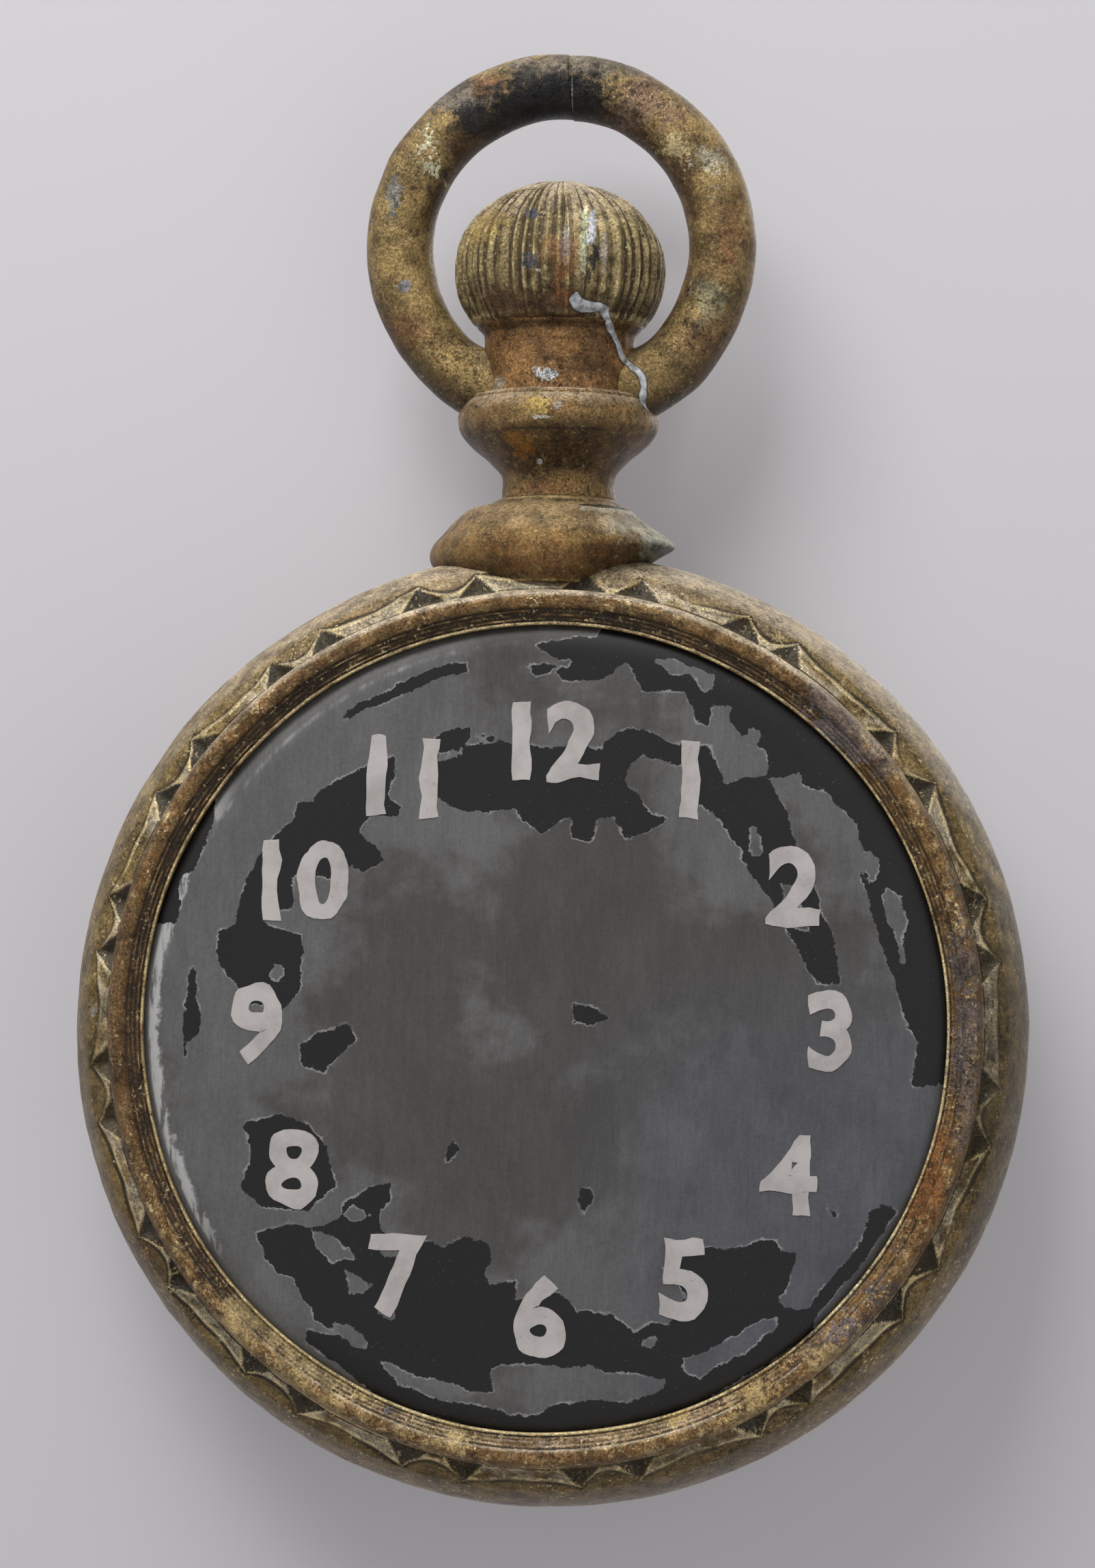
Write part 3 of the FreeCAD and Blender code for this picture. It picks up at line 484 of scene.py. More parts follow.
def casting_material(name, spots, **look):
    """Bronzed zinc with its own tones.

    A spot is its centre, its half sizes, its colour, how strong it is and how ragged its edge, and
    where its edge is softer than DEFAULT_SOFTNESS, how soft.
    """
    material, nodes, shader = new_material(name)
    place = nodes.place()
    drawn = nodes.group(ROUND_CASE, Place=place, Length=0.16)["Drawn"]
    upward = nodes.apart(nodes.add("ShaderNodeNewGeometry").outputs["Normal"])[2]
    values = {
        "Rubbed": GILT, "Bare": ZINC, "Dirt": GRIME, "Worn_Tone": WORN_PANEL,
        "Streaks": 0.0, "Dust": 0.75, "Shade": 0.7,
    }
    values.update(look)
    outs = nodes.group(
        CASTING, Place=place, Drawn=drawn, Edge=nodes.attribute("edge"), Hollow=nodes.attribute("hollow"),
        Worn=nodes.attribute("worn"), Upward=upward, **values)
    colour = outs["Color"]
    texture = nodes.join(outs["Texture"], outs["Texture"], outs["Texture"])
    for centre, half_size, tone, strength, ragged, *soft in spots:
        softness = soft[0] if soft else DEFAULT_SOFTNESS
        mask = nodes.group(
            SPOT, Place=place, Centre=centre, Size=half_size, Ragged=ragged, Softness=softness)["Mask"]
        textured = nodes.vector("MULTIPLY", texture, tone[:3])
        colour = nodes.blend(nodes.math("MULTIPLY", mask, strength), colour, textured)
    nodes.put(shader.inputs["Base Color"], colour)
    nodes.put(shader.inputs["Roughness"], outs["Roughness"])
    nodes.put(shader.inputs["Metallic"], outs["Metallic"])
    shader.inputs["Specular IOR Level"].default_value = 0.25
    bump(nodes, shader, outs["Height"], 0.0013, 0.9)
    return material


WAVES = 16


def wavy(points, hill, seed):
    """A smooth uneven field over points, about -1 to 1, whose hills are about hill metres across."""
    rng = np.random.default_rng(seed)
    total = np.zeros(points.shape[:-1])
    for _ in range(WAVES):
        heading = rng.normal(size=3)
        heading /= np.linalg.norm(heading)
        pitch = 2 * math.pi / hill * rng.uniform(0.5, 1.5)
        total += np.sin(points @ heading * pitch + rng.uniform(0, 2 * math.pi))
    return total / math.sqrt(WAVES)


def dents(points, seed, broad, fine):
    """Uneven height in mm. Broad and fine hills are each given as how wide in metres and how high in mm."""
    return wavy(points, broad[0], seed) * broad[1] + wavy(points, fine[0], seed + 1) * fine[1]


def grid_normals(grid, closed_rows):
    """Normals of a grid whose columns go round."""
    across = np.roll(grid, -1, axis=1) - np.roll(grid, 1, axis=1)
    if closed_rows:
        down = np.roll(grid, -1, axis=0) - np.roll(grid, 1, axis=0)
    else:
        down = np.gradient(grid, axis=0)
    normals = np.cross(across, down)
    length = np.linalg.norm(normals, axis=-1, keepdims=True)
    return normals / np.maximum(length, 1e-12)


def pushed_out(grid, height, closed_rows, row):
    """The grid moved along its normals by a height in mm. One row's middle tells which way is out."""
    normals = grid_normals(grid, closed_rows)
    outward = np.sign(normals[row, 0] @ (grid[row, 0] - grid[row].mean(axis=0)))
    return grid + normals * outward * height[..., None] * MM


def bend(grid, normals, reach, closed_rows):
    """How far each point stands above the middle of its neighbours, reach steps away, over their span."""
    total = np.zeros(grid.shape[:-1])
    for axis in (0, 1):
        ahead = np.roll(grid, -reach, axis=axis)
        behind = np.roll(grid, reach, axis=axis)
        if axis == 0 and not closed_rows:
            ahead[-reach:] = grid[-reach:]
            behind[:reach] = grid[:reach]
        span = np.maximum(np.linalg.norm(ahead - behind, axis=-1), 0.4 * MM)
        rise = np.sum((grid - (ahead + behind) / 2) * normals, axis=-1)
        total += rise / span
    return total


# How strongly sharp bends and carved relief mark a point as a rubbed edge or a hollow
SHARP_WEIGHT = 1.6
RELIEF_EDGE = 0.25
RELIEF_HOLLOW = 0.35
MARK_STRENGTH = 3.2


def make_skin(name, grid, material, slot, nodes_replaced, closed_rows=True, relief=None, **marks):
    """A closed mesh from a grid of rings, with flat caps where its rows aren't closed.

    Marks are values per point that the materials read.
    """
    rows, columns, _ = grid.shape
    index = np.arange(rows * columns).reshape(rows, columns)
    upper = index if closed_rows else index[:-1]
    lower = np.roll(index, -1, axis=0) if closed_rows else index[1:]
    faces = np.stack([upper, np.roll(upper, -1, axis=1), np.roll(lower, -1, axis=1), lower], axis=-1)
    faces = faces.reshape(-1, 4)
    points = grid.reshape(-1, 3)
    a, b, c, d = (points[faces[:, i]] for i in range(4))
    volume = np.sum(np.cross(b - a, c - a) * a) + np.sum(np.cross(c - a, d - a) * a)
    if volume < 0:
        faces = faces[:, ::-1]
    normals = grid_normals(grid, closed_rows)
    sign = -1.0 if volume < 0 else 1.0
    sharp = bend(grid, normals * sign, 1, closed_rows)
    broad = bend(grid, normals * sign, 3, closed_rows)
    standing = np.maximum(sharp * SHARP_WEIGHT, broad)
    sunk = np.maximum(-sharp * SHARP_WEIGHT, -broad)
    if relief is not None:
        standing = standing + np.clip(relief, 0, None) * RELIEF_EDGE
        sunk = sunk + np.clip(-relief, 0, None) * RELIEF_HOLLOW
    face_list = faces.tolist()
    if not closed_rows:
        for row, flip in ((index[0], volume < 0), (index[-1], volume >= 0)):
            ring = row.tolist()
            face_list.append(ring[::-1] if not flip else ring)
    mesh = bpy.data.meshes.new(name)
    mesh.from_pydata(points.tolist(), [], face_list)
    marks["edge"] = np.clip(standing * MARK_STRENGTH, 0, 1)
    marks["hollow"] = np.clip(sunk * MARK_STRENGTH, 0, 1)
    for title, values in marks.items():
        layer = mesh.attributes.new(title, "FLOAT", "POINT")
        layer.data.foreach_set("value", values.astype(np.float32).ravel())
    mesh.polygons.foreach_set("use_smooth", [len(polygon.vertices) == 4 for polygon in mesh.polygons])
    mesh.materials.append(material)
    mesh.validate()
    piece = bpy.data.objects.new(name, mesh)
    bpy.context.collection.objects.link(piece)
    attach(piece, "root")
    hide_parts(*nodes_replaced)
    return piece


def about_case(section, steps, side):
    """Rings about the case's axis from a section of radius and depth, on the front or the back."""
    turns = np.linspace(0, 2 * math.pi, steps, endpoint=False)
    radius = np.repeat(section[:, :1], steps, axis=1)
    depth = np.repeat(section[:, 1:2], steps, axis=1)
    x = radius * np.sin(turns)
    z = CASE_MIDDLE + radius * np.cos(turns)
    return np.stack([x, -side * depth, z], axis=-1)


def about_upright(radius, height, turns):
    """Rings about the pendant's upright axis."""
    x = radius * np.cos(turns)
    y = radius * np.sin(turns)
    return np.stack([x, y, np.broadcast_to(height, x.shape)], axis=-1)


# Case shells

def notch_list(seed):
    """Each notch's angle in degrees clockwise from the top, its half base and its slope, cut by hand."""
    rng = np.random.default_rng(seed)
    notches = []
    for pair in range(NOTCH_PAIRS):
        drift = NOTCH_DRIFT * math.sin(math.pi * pair / NOTCH_PAIRS)
        first = NOTCH_FIRST_ANGLE + pair * 360.0 / NOTCH_PAIRS + drift
        for place in (first, first + NOTCH_SPACING):
            angle = (place + rng.uniform(-0.5, 0.5)) % 360.0
            half_base = NOTCH_HALF_BASE * rng.uniform(0.85, 1.12)
            notches.append((angle, half_base, NOTCH_SLOPE * rng.uniform(0.85, 1.15)))
    return sorted(notches)


def scallop_edge(turns, notches):
    """How far across the border the scalloped ridge runs, 0 at the band to 1 at the bezel."""
    angles = np.array([notch[0] for notch in notches])
    following = np.searchsorted(angles, turns, side="right")
    before = angles[(following - 1) % len(angles)]
    after = angles[following % len(angles)]
    gap = (after - before) % 360.0
    share = ((turns - before) % 360.0) / gap
    dip = np.where(gap > 1.6 * NOTCH_SPACING, 0.34, 0.52)
    wobble = 0.03 * np.sin(np.radians(turns * 23)) + 0.02 * np.sin(np.radians(turns * 61 + 40))
    wobble += 0.03 * np.sin(np.radians(turns * 7 + 15))
    return 0.12 + dip * np.sin(math.pi * share) ** 0.8 + wobble


def border_relief(turns, across, notches):
    """Height of the border's carving in mm: turns in degrees round the rim, across 0 at the band to 1."""
    beyond = across[:, None] - scallop_edge(turns, notches)[None, :]
    ring = np.stack([np.sin(np.radians(turns)), np.cos(np.radians(turns)), np.zeros_like(turns)], axis=-1)
    ring *= 0.18
    strength = np.clip(0.75 + 0.45 * wavy(ring, 0.05, 90) + 0.25 * wavy(ring, 0.014, 91), 0.1, 1.6)
    groove = np.clip(0.25 + 0.5 * wavy(ring, 0.04, 92), 0.0, 1.0)
    height = 0.55 * np.clip((beyond + 0.07) / 0.14, 0, 1)
    height += 0.50 * strength * np.exp(-((beyond - 0.07) / 0.065) ** 2)
    height -= 0.50 * groove * np.exp(-((beyond + 0.12) / 0.07) ** 2)
    height += 0.30 * strength * np.exp(-((across[:, None] - 0.93) / 0.035) ** 2)
    height -= 0.25 * strength * np.exp(-((across[:, None] - 0.85) / 0.035) ** 2)
    for angle, half_base, slope in notches:
        aside = (turns - angle + 180.0) % 360.0 - 180.0
        aside = np.radians(aside)[None, :] * (BAND_EDGE_RADIUS + BORDER_INNER_RADIUS) / 2
        down = (across[:, None] - 0.12) * BORDER_WIDTH
        run = 0.76 * BORDER_WIDTH
        side_slope = half_base / run
        to_side = (down * side_slope - np.abs(aside)) / math.hypot(1, side_slope)
        to_base = run - down
        pit = np.minimum(to_side, to_base * 0.9) / MM
        cut = np.minimum(height, height * np.clip(-pit / 0.3, 0, 1) - pit * slope)
        height = np.where(pit > -0.3, cut, height)
    return height


def case_shell(side, material, seed):
    """One half of the case: the round band, the notched border and the flange that carries the dial."""
    turns = np.linspace(0, 2 * math.pi, CASE_STEPS, endpoint=False)
    edge_angle = math.atan2(BAND_EDGE_DEPTH, BAND_EDGE_RADIUS - BAND_ARC_CENTRE)
    rows = []
    for share in np.linspace(0, 1, 15)[:-1]:
        angle = edge_angle * share
        radius = BAND_ARC_CENTRE + BAND_ARC_RADIUS * math.cos(angle)
        rows.append((radius, BAND_ARC_RADIUS * math.sin(angle), BAND_ROW))
    for share in np.linspace(0, 1, 27):
        rows.append((
            BAND_EDGE_RADIUS + (BORDER_INNER_RADIUS - BAND_EDGE_RADIUS) * share,
            BAND_EDGE_DEPTH + (FACE_DEPTH - BAND_EDGE_DEPTH) * share, share))
    inner_edge = BORDER_INNER_RADIUS - CASE_WALL
    for radius, depth in (
            (FLANGE_INNER_RADIUS, FACE_DEPTH), (FLANGE_INNER_RADIUS, FLANGE_BACK_DEPTH),
            (inner_edge, FLANGE_BACK_DEPTH),
            (BAND_EDGE_RADIUS - CASE_WALL, BAND_EDGE_DEPTH - CASE_WALL / 2),
            (CASE_RADIUS - CASE_WALL, 0.0)):
        rows.append((radius, depth, HIDDEN_ROW))
    table = np.array(rows)
    grid = about_case(table[:, :2], CASE_STEPS, side)
    across = table[:, 2]
    height = np.zeros(grid.shape[:2])
    border = across >= 0
    height[border] = border_relief(np.degrees(turns), across[border], notch_list(seed))
    fade = np.clip(across[border] / 0.04, 0, 1)[:, None]
    height[border] *= fade
    outside = across != HIDDEN_ROW
    carving = height.copy()
    uneven = dents(grid, seed, (0.045, 0.22), (0.016, 0.10))
    height[outside] += uneven[outside] - 0.45
    height[0] -= 0.5
    grid = pushed_out(grid, height, True, 5)
    name = "case_front" if side == FRONT else "case_back"
    node = "case_front_shell" if side == FRONT else "case_back_shell"
    edge = scallop_edge(np.degrees(turns), notch_list(seed))
    panel = np.clip((across[:, None] - edge[None, :] + 0.08) / 0.12, 0, 1) * (across[:, None] >= 0)
    patchy = 0.75 + 0.35 * wavy(grid, 0.03, seed + 2) + 0.25 * wavy(grid, 0.009, seed + 3)
    return make_skin(name, grid, material, "bronzed_casting", [node], relief=carving,
                     worn=np.clip(panel * patchy, 0, 1.2))


def arc_points(centre, radius, start, end, count):
    """Points of a section along an oval arc, its angles in degrees from outward to frontward."""
    angles = np.radians(np.linspace(start, end, count))
    return [(centre[0] + radius[0] * math.cos(a), centre[1] + radius[1] * math.sin(a)) for a in angles]


def bezel(side, material, seed):
    """A round bead, a groove, a reeded slope and a small bright lip."""
    outer_width = BEZEL_OUTER_RADIUS - BEZEL_CREST_RADIUS
    rise = BEZEL_CREST_DEPTH - FACE_DEPTH + 1.0 * MM
    section = arc_points((BEZEL_CREST_RADIUS, FACE_DEPTH - 1.0 * MM), (outer_width, rise), 0, 90, 12)
    inner_width = BEZEL_CREST_RADIUS - BEZEL_GROOVE_RADIUS
    section += arc_points(
        (BEZEL_CREST_RADIUS, BEZEL_CREST_DEPTH - 2.0 * MM), (inner_width, 2.0 * MM), 100, 172, 8)
    start = (BEZEL_GROOVE_RADIUS - 0.3 * MM, BEZEL_CREST_DEPTH - 2.2 * MM)
    end = (BEZEL_INNER_RADIUS + 2 * LIP_HALF_WIDTH, BEZEL_LIP_DEPTH - 0.2 * MM)
    reed_rows = range(len(section), len(section) + BEZEL_REEDS * REED_ROWS)
    bulges = []
    for reed in range(BEZEL_REEDS):
        for share in np.linspace(0.06, 0.94, REED_ROWS):
            along = (reed + share) / BEZEL_REEDS
            section.append((start[0] + (end[0] - start[0]) * along, start[1] + (end[1] - start[1]) * along))
            bulges.append((reed, math.sin(math.pi * share)))
    lip_start = len(section)
    section += arc_points(
        (BEZEL_INNER_RADIUS + LIP_HALF_WIDTH, BEZEL_LIP_DEPTH), (LIP_HALF_WIDTH, LIP_HEIGHT), 20, 180, 8)
    lip_rows = range(lip_start, len(section))
    section.append((BEZEL_INNER_RADIUS, FACE_DEPTH - 1.0 * MM))
    section.append((BEZEL_CREST_RADIUS, FACE_DEPTH - 1.2 * MM))
    grid = about_case(np.array(section), BEZEL_STEPS, side)
    radial = grid - np.array([0, 0, CASE_MIDDLE])
    radial[..., 1] = 0
    radial /= np.linalg.norm(radial, axis=-1, keepdims=True)
    forward = np.array([0, -side, 0])
    uneven = dents(grid, seed, (0.05, 0.28), (0.012, 0.12))
    turns = np.linspace(0, 360, grid.shape[1], endpoint=False)
    sharpness = 0.65 - 0.40 * np.cos(np.radians(turns - 135))
    for row, (reed, bulge) in zip(reed_rows, bulges):
        standing = 0.34 + dents(grid[row] + reed, seed + 3, (0.03, 0.24), (0.007, 0.14))
        uneven[row] += np.clip(standing, 0.0, 0.75) * bulge * sharpness
    uneven[-2:] = 0
    sway = wavy(grid, 0.08, seed + 2)[..., None] * 0.28 * MM
    grid = grid + forward * ((uneven[..., None] - 0.35) * MM) + radial * sway
    worn = np.zeros(grid.shape[:2])
    # The lip's worn mark is raised from the right round to the bottom: a painted highlight where the lip
    # faces the light, over real rubbing
    bright = np.clip((turns - 70) / 40, 0, 1) * np.clip((215 - turns) / 40, 0, 1)
    worn[list(lip_rows)] = np.clip(bright + 0.28 + 0.25 * wavy(grid[lip_start], 0.02, seed + 5), 0, 1)
    name = "bezel_front_bead" if side == FRONT else "bezel_back_bead"
    node = "bezel_front" if side == FRONT else "bezel_back"
    relief = np.zeros(grid.shape[:2])
    relief[list(reed_rows)] = -0.55 * sharpness
    return make_skin(name, grid, material, "bronzed_casting", [node], relief=relief, worn=worn)


# Dials

def dial_depth(radius):
    """Depth of the dial's face: nearly flat, then rolled down under the bezel."""
    face = DIAL_TOP_DEPTH - DIAL_FACE_DROP * np.clip(radius / DIAL_FACE_RADIUS, 0, 1) ** 2
    roll = np.clip((radius - DIAL_FACE_RADIUS) / (DIAL_ROLL_RADIUS - DIAL_FACE_RADIUS), 0, 1)
    fall = DIAL_TOP_DEPTH - DIAL_FACE_DROP - FLANGE_BACK_DEPTH
    return face - fall * (1 - np.sqrt(np.clip(1 - roll ** 2.4, 0, 1)))


def dial_dents(grid, side):
    """How far the sheet stands off its plain form, in metres; places are given with no depth."""
    return dents(grid, DIAL_SEED[side], (0.12, 0.35), (0.04, 0.08)) * MM + DIAL_LIFT


# Outlines of the black paint that is left on the front, in millimetres from the dial's middle
BLACK_PAINT = [
    [(-62, 111), (-71, 109), (-80, 104), (-88, 100), (-96, 92), (-103, 91), (-104, 85), (-111, 79),
     (-118, 70), (-123, 60), (-126, 52), (-127, 40), (-134, 38), (-136, 30), (-133, 23), (-127, 17),
     (-121, 8), (-108, 6), (-100, 14), (-100, 36), (-108, 38), (-118, 43), (-104, 48), (-104, 60),
     (-98, 66), (-94, 61), (-88, 60), (-80, 66), (-74, 63), (-67, 68), (-70, 73), (-77, 80), (-72, 87),
     (-62, 86), (-60, 90), (-66, 94), (-62, 103)],
    [(-50, 106), (-51, 100), (-46, 94), (-38, 90), (-25, 89), (-12, 90), (-10, 85), (-1, 79), (4, 84),
     (10, 86), (11, 78), (19, 77), (21, 87), (28, 87), (33, 78), (42, 80), (50, 86), (44, 88), (40, 92),
     (37, 97), (33, 101), (34, 106), (40, 112), (46, 110), (56, 109), (60, 104), (57, 100), (57, 97),
     (62, 94), (66, 91), (72, 86), (79, 76), (85, 64), (93, 54), (99, 43), (104, 32), (112, 20),
     (121, 20), (119, 36), (113, 52), (107, 66), (103, 78), (99, 90), (94, 98), (91, 103), (82, 104),
     (74, 101), (70, 108), (67, 116), (60, 117), (50, 117), (46, 120), (40, 123), (33, 123), (27, 120),
     (22, 114), (10, 116), (-1, 115), (-12, 117), (-22, 116), (-32, 115), (-37, 110), (-45, 109)],
    [(-48, 116), (-42, 121), (-33, 122), (-33, 118), (-38, 114), (-44, 112)],
    [(-84, 126), (-78, 133), (-70, 136), (-60, 141), (-48, 147), (-38, 150), (-33, 150), (-33, 146),
     (-44, 144), (-56, 138), (-68, 133), (-80, 128)],
    [(-28, 120), (-22, 120), (-18, 117), (-24, 117)],
    [(-8, 148), (-2, 149), (4, 149), (1, 146), (-5, 144)],
    [(-4, 157), (8, 160), (20, 161), (22, 170), (60, 170), (110, 140), (150, 95), (172, 30), (168, -21),
     (152, -22), (152, -14), (154, -4), (150, 1), (148, 7), (146, 14), (143, 22), (139, 34), (136, 44),
     (133, 52), (132, 58), (129, 64), (132, 66), (133, 61), (136, 62), (137, 70), (134, 74), (130, 74),
     (128, 80), (126, 86), (120, 92), (114, 99), (110, 100), (106, 101), (104, 107), (98, 104),
     (90, 103), (91, 109), (91, 115), (87, 116), (88, 121), (84, 125), (82, 120), (78, 120), (74, 125),
     (68, 131), (66, 124), (62, 126), (60, 132), (56, 138), (48, 139), (40, 138), (36, 145), (33, 151),
     (28, 149), (24, 143), (14, 143), (6, 143), (3, 147), (10, 148), (10, 152), (3, 152)],
    [(-137, 91), (-138, 82), (-142, 72), (-145, 63), (-151, 61), (-151, 48), (-153, 41), (-168, 41),
     (-165, 65), (-152, 92), (-142, 104)],
    [(-147, 22), (-144, 23), (-143, 12), (-141, 4), (-143, -3), (-146, -8), (-148, -18), (-149, -6),
     (-148, 8)],
    [(-122, -42), (-108, -37), (-96, -41), (-87, -52), (-85, -66), (-96, -76), (-114, -75), (-124, -67),
     (-119, -57)],
    [(-85, -14), (-76, -6), (-80, 1), (-92, -4), (-100, -9), (-99, -17), (-90, -20)],
    [(-117, -86), (-104, -82), (-94, -84), (-84, -80), (-80, -72), (-70, -66), (-62, -64), (-61, -72),
     (-66, -78), (-66, -84), (-56, -88), (-44, -88), (-40, -91), (-32, -87), (-21, -88), (-20, -94),
     (-24, -100), (-20, -106), (-10, -104), (-10, -112), (-1, -109), (8, -109), (16, -116), (30, -117),
     (39, -124), (46, -119), (53, -120), (55, -112), (61, -109), (56, -102), (51, -97), (58, -93),
     (66, -89), (80, -89), (90, -86), (96, -86), (98, -90), (104, -90), (103, -98), (100, -106),
     (96, -109), (100, -114), (110, -113), (114, -108), (120, -100), (124, -94), (130, -88), (133, -82),
     (134, -73), (140, -70), (146, -73), (136, -88), (126, -101), (112, -117), (112, -125), (60, -156),
     (0, -170), (-60, -156), (-96, -130), (-95, -125), (-84, -127), (-92, -121), (-93, -116),
     (-98, -112), (-101, -104), (-108, -101), (-113, -95)],
    [(17, -66), (21, -66), (21, -71), (18, -76), (16, -71)],
    [(-36, -46), (-33, -50), (-39, -56), (-38, -50)],
    [(12, 10), (20, 9), (27, 4), (20, 1), (13, 2)],
    [(118, -72), (122, -73), (121, -76), (118, -75)],
]
# Outlines inside them where the paint has come off
BARE_SHEET = [
    [(43, 152), (52, 153), (61, 149), (69, 146), (68, 140), (64, 139), (59, 145), (50, 145)],
    [(68, 132), (75, 132), (74, 127), (79, 121), (74, 120), (68, 126)],
    [(139, 61), (146, 56), (149, 46), (148, 37), (149, 28), (145, 27), (144, 36), (140, 46), (138, 54)],
    [(83, 84), (87, 84), (89, 72), (85, 71)],
    [(96, 61), (102, 60), (107, 45), (110, 40), (101, 42), (97, 52)],
    [(-66, -137), (-60, -138), (-50, -143), (-40, -145), (-28, -149), (-18, -150), (-20, -139),
     (-10, -138), (0, -138), (10, -139), (20, -138), (28, -140), (40, -141), (52, -143), (50, -148),
     (38, -152), (20, -152), (8, -155), (0, -158), (-10, -158), (-20, -156), (-32, -154), (-46, -151),
     (-58, -147)],
    [(59, -134), (70, -130), (80, -124), (90, -118), (98, -116), (98, -121), (90, -127), (82, -133),
     (74, -138), (66, -143), (60, -139)],
    [(41, -127), (48, -126), (47, -130), (42, -130)],
    [(-94, -84), (-86, -86), (-80, -91), (-74, -97), (-80, -96), (-86, -99), (-92, -92)],
    [(-82, -99), (-76, -101), (-68, -106), (-72, -111), (-78, -110)],
    [(-66, -114), (-60, -114), (-59, -121), (-67, -119)],
    [(-78, -74), (-70, -78), (-76, -81), (-80, -78)],
    [(-66, -91), (-56, -91), (-56, -95), (-65, -95)],
    [(-110, 26), (-106, 20), (-112, 15), (-114, 20)],
    [(-84, -122), (-78, -123), (-66, -133), (-76, -131), (-84, -126)],
]


def inside(x, z, outline):
    """Distance of points from a closed outline, positive inside it; all in millimetres."""
    nearest = np.full(x.shape, np.inf)
    odd = np.zeros(x.shape, dtype=bool)
    for (ax, az), (bx, bz) in zip(outline, outline[1:] + outline[:1]):
        run_x = bx - ax
        run_z = bz - az
        share = np.clip(((x - ax) * run_x + (z - az) * run_z) / (run_x ** 2 + run_z ** 2), 0, 1)
        nearest = np.minimum(nearest, np.hypot(x - ax - share * run_x, z - az - share * run_z))
        if az != bz:
            odd ^= ((az > z) != (bz > z)) & (x < ax + (z - az) * run_x / (bz - az))
    return np.where(odd, nearest, -nearest)


def paint_left(x, z):
    """How deep each point lies in the black paint that is left, in millimetres; bare sheet is negative."""
    depth = np.full(x.shape, -PAINT_REACH)
    for outline in BLACK_PAINT:
        depth = np.maximum(depth, inside(x, z, outline))
    for outline in BARE_SHEET:
        depth = np.minimum(depth, -inside(x, z, outline))
    return np.clip(depth, -PAINT_REACH, PAINT_REACH)


def dial(side, material):
    """A crowned sheet, rolled down at its edge, with the paint that is left marked on it."""
    radii = np.concatenate([
        np.linspace(0.5 * MM, DIAL_FACE_RADIUS, 84),
        DIAL_FACE_RADIUS + (DIAL_ROLL_RADIUS - DIAL_FACE_RADIUS) * np.linspace(0.04, 1, 18)])
    top = np.stack([radii, dial_depth(radii)], axis=-1)
    under = np.concatenate([radii[::-4], radii[:1]])
    bottom = np.stack([under, dial_depth(under) - DIAL_SHEET], axis=-1)
    section = np.concatenate([top, bottom])
    grid = about_case(section, DIAL_STEPS, side)
    x = grid[..., 0] / MM
    z = (grid[..., 2] - CASE_MIDDLE) / MM
    if side == BACK:
        # The back's patches are the front's, mirrored about a slanting line
        x, z = (BACK_PATCH_ALONG * x + BACK_PATCH_ASIDE * z, BACK_PATCH_ASIDE * x - BACK_PATCH_ALONG * z)
    paint = paint_left(x, z)
    fade = np.clip((DIAL_ROLL_RADIUS - section[:, 0]) / (4 * MM), 0, 1)[:, None]
    grid[..., 1] += side * dial_dents(grid * np.array([1, 0, 1]), side) * fade
    name = "dial_front_sheet" if side == FRONT else "dial_back_sheet"
    node = "dial_front" if side == FRONT else "dial_back"
    return make_skin(name, grid, material, "dial_sheet", [node], closed_rows=False, paint=paint)


# Pendant

def case_top(x, y):
    """Height of the case's outside above a point, bezels included."""
    depth = np.abs(y)
    band = BAND_ARC_CENTRE + np.sqrt(np.clip(BAND_ARC_RADIUS ** 2 - depth ** 2, 0, None))
    slope = (BORDER_INNER_RADIUS - BAND_EDGE_RADIUS) / (FACE_DEPTH - BAND_EDGE_DEPTH)
    border = BAND_EDGE_RADIUS + (depth - BAND_EDGE_DEPTH) * slope
    outer = BEZEL_OUTER_RADIUS - 0.4 * MM
    width = outer - BEZEL_CREST_RADIUS
    rise = np.clip((depth - FACE_DEPTH) / (BEZEL_CREST_DEPTH - FACE_DEPTH), 0, 1)
    bead = BEZEL_CREST_RADIUS + width * np.sqrt(1 - rise ** 2)
    radius = np.where(depth < BAND_EDGE_DEPTH, band, np.where(depth < FACE_DEPTH, border, bead))
    return CASE_MIDDLE + np.sqrt(np.clip(radius ** 2 - x ** 2, 0, None))


def lens_ring(turns, half_length, half_depth, drop):
    """A level ring, round at the seat and drawn out to points the further it drops."""
    point = 1 + 0.38 * min(1.0, drop / (16 * MM))
    y = half_depth * np.sign(np.sin(turns)) * np.abs(np.sin(turns)) ** point
    return np.stack([half_length * np.cos(turns), y, np.full(turns.shape, COLLAR_LOW.z - drop)], axis=-1)


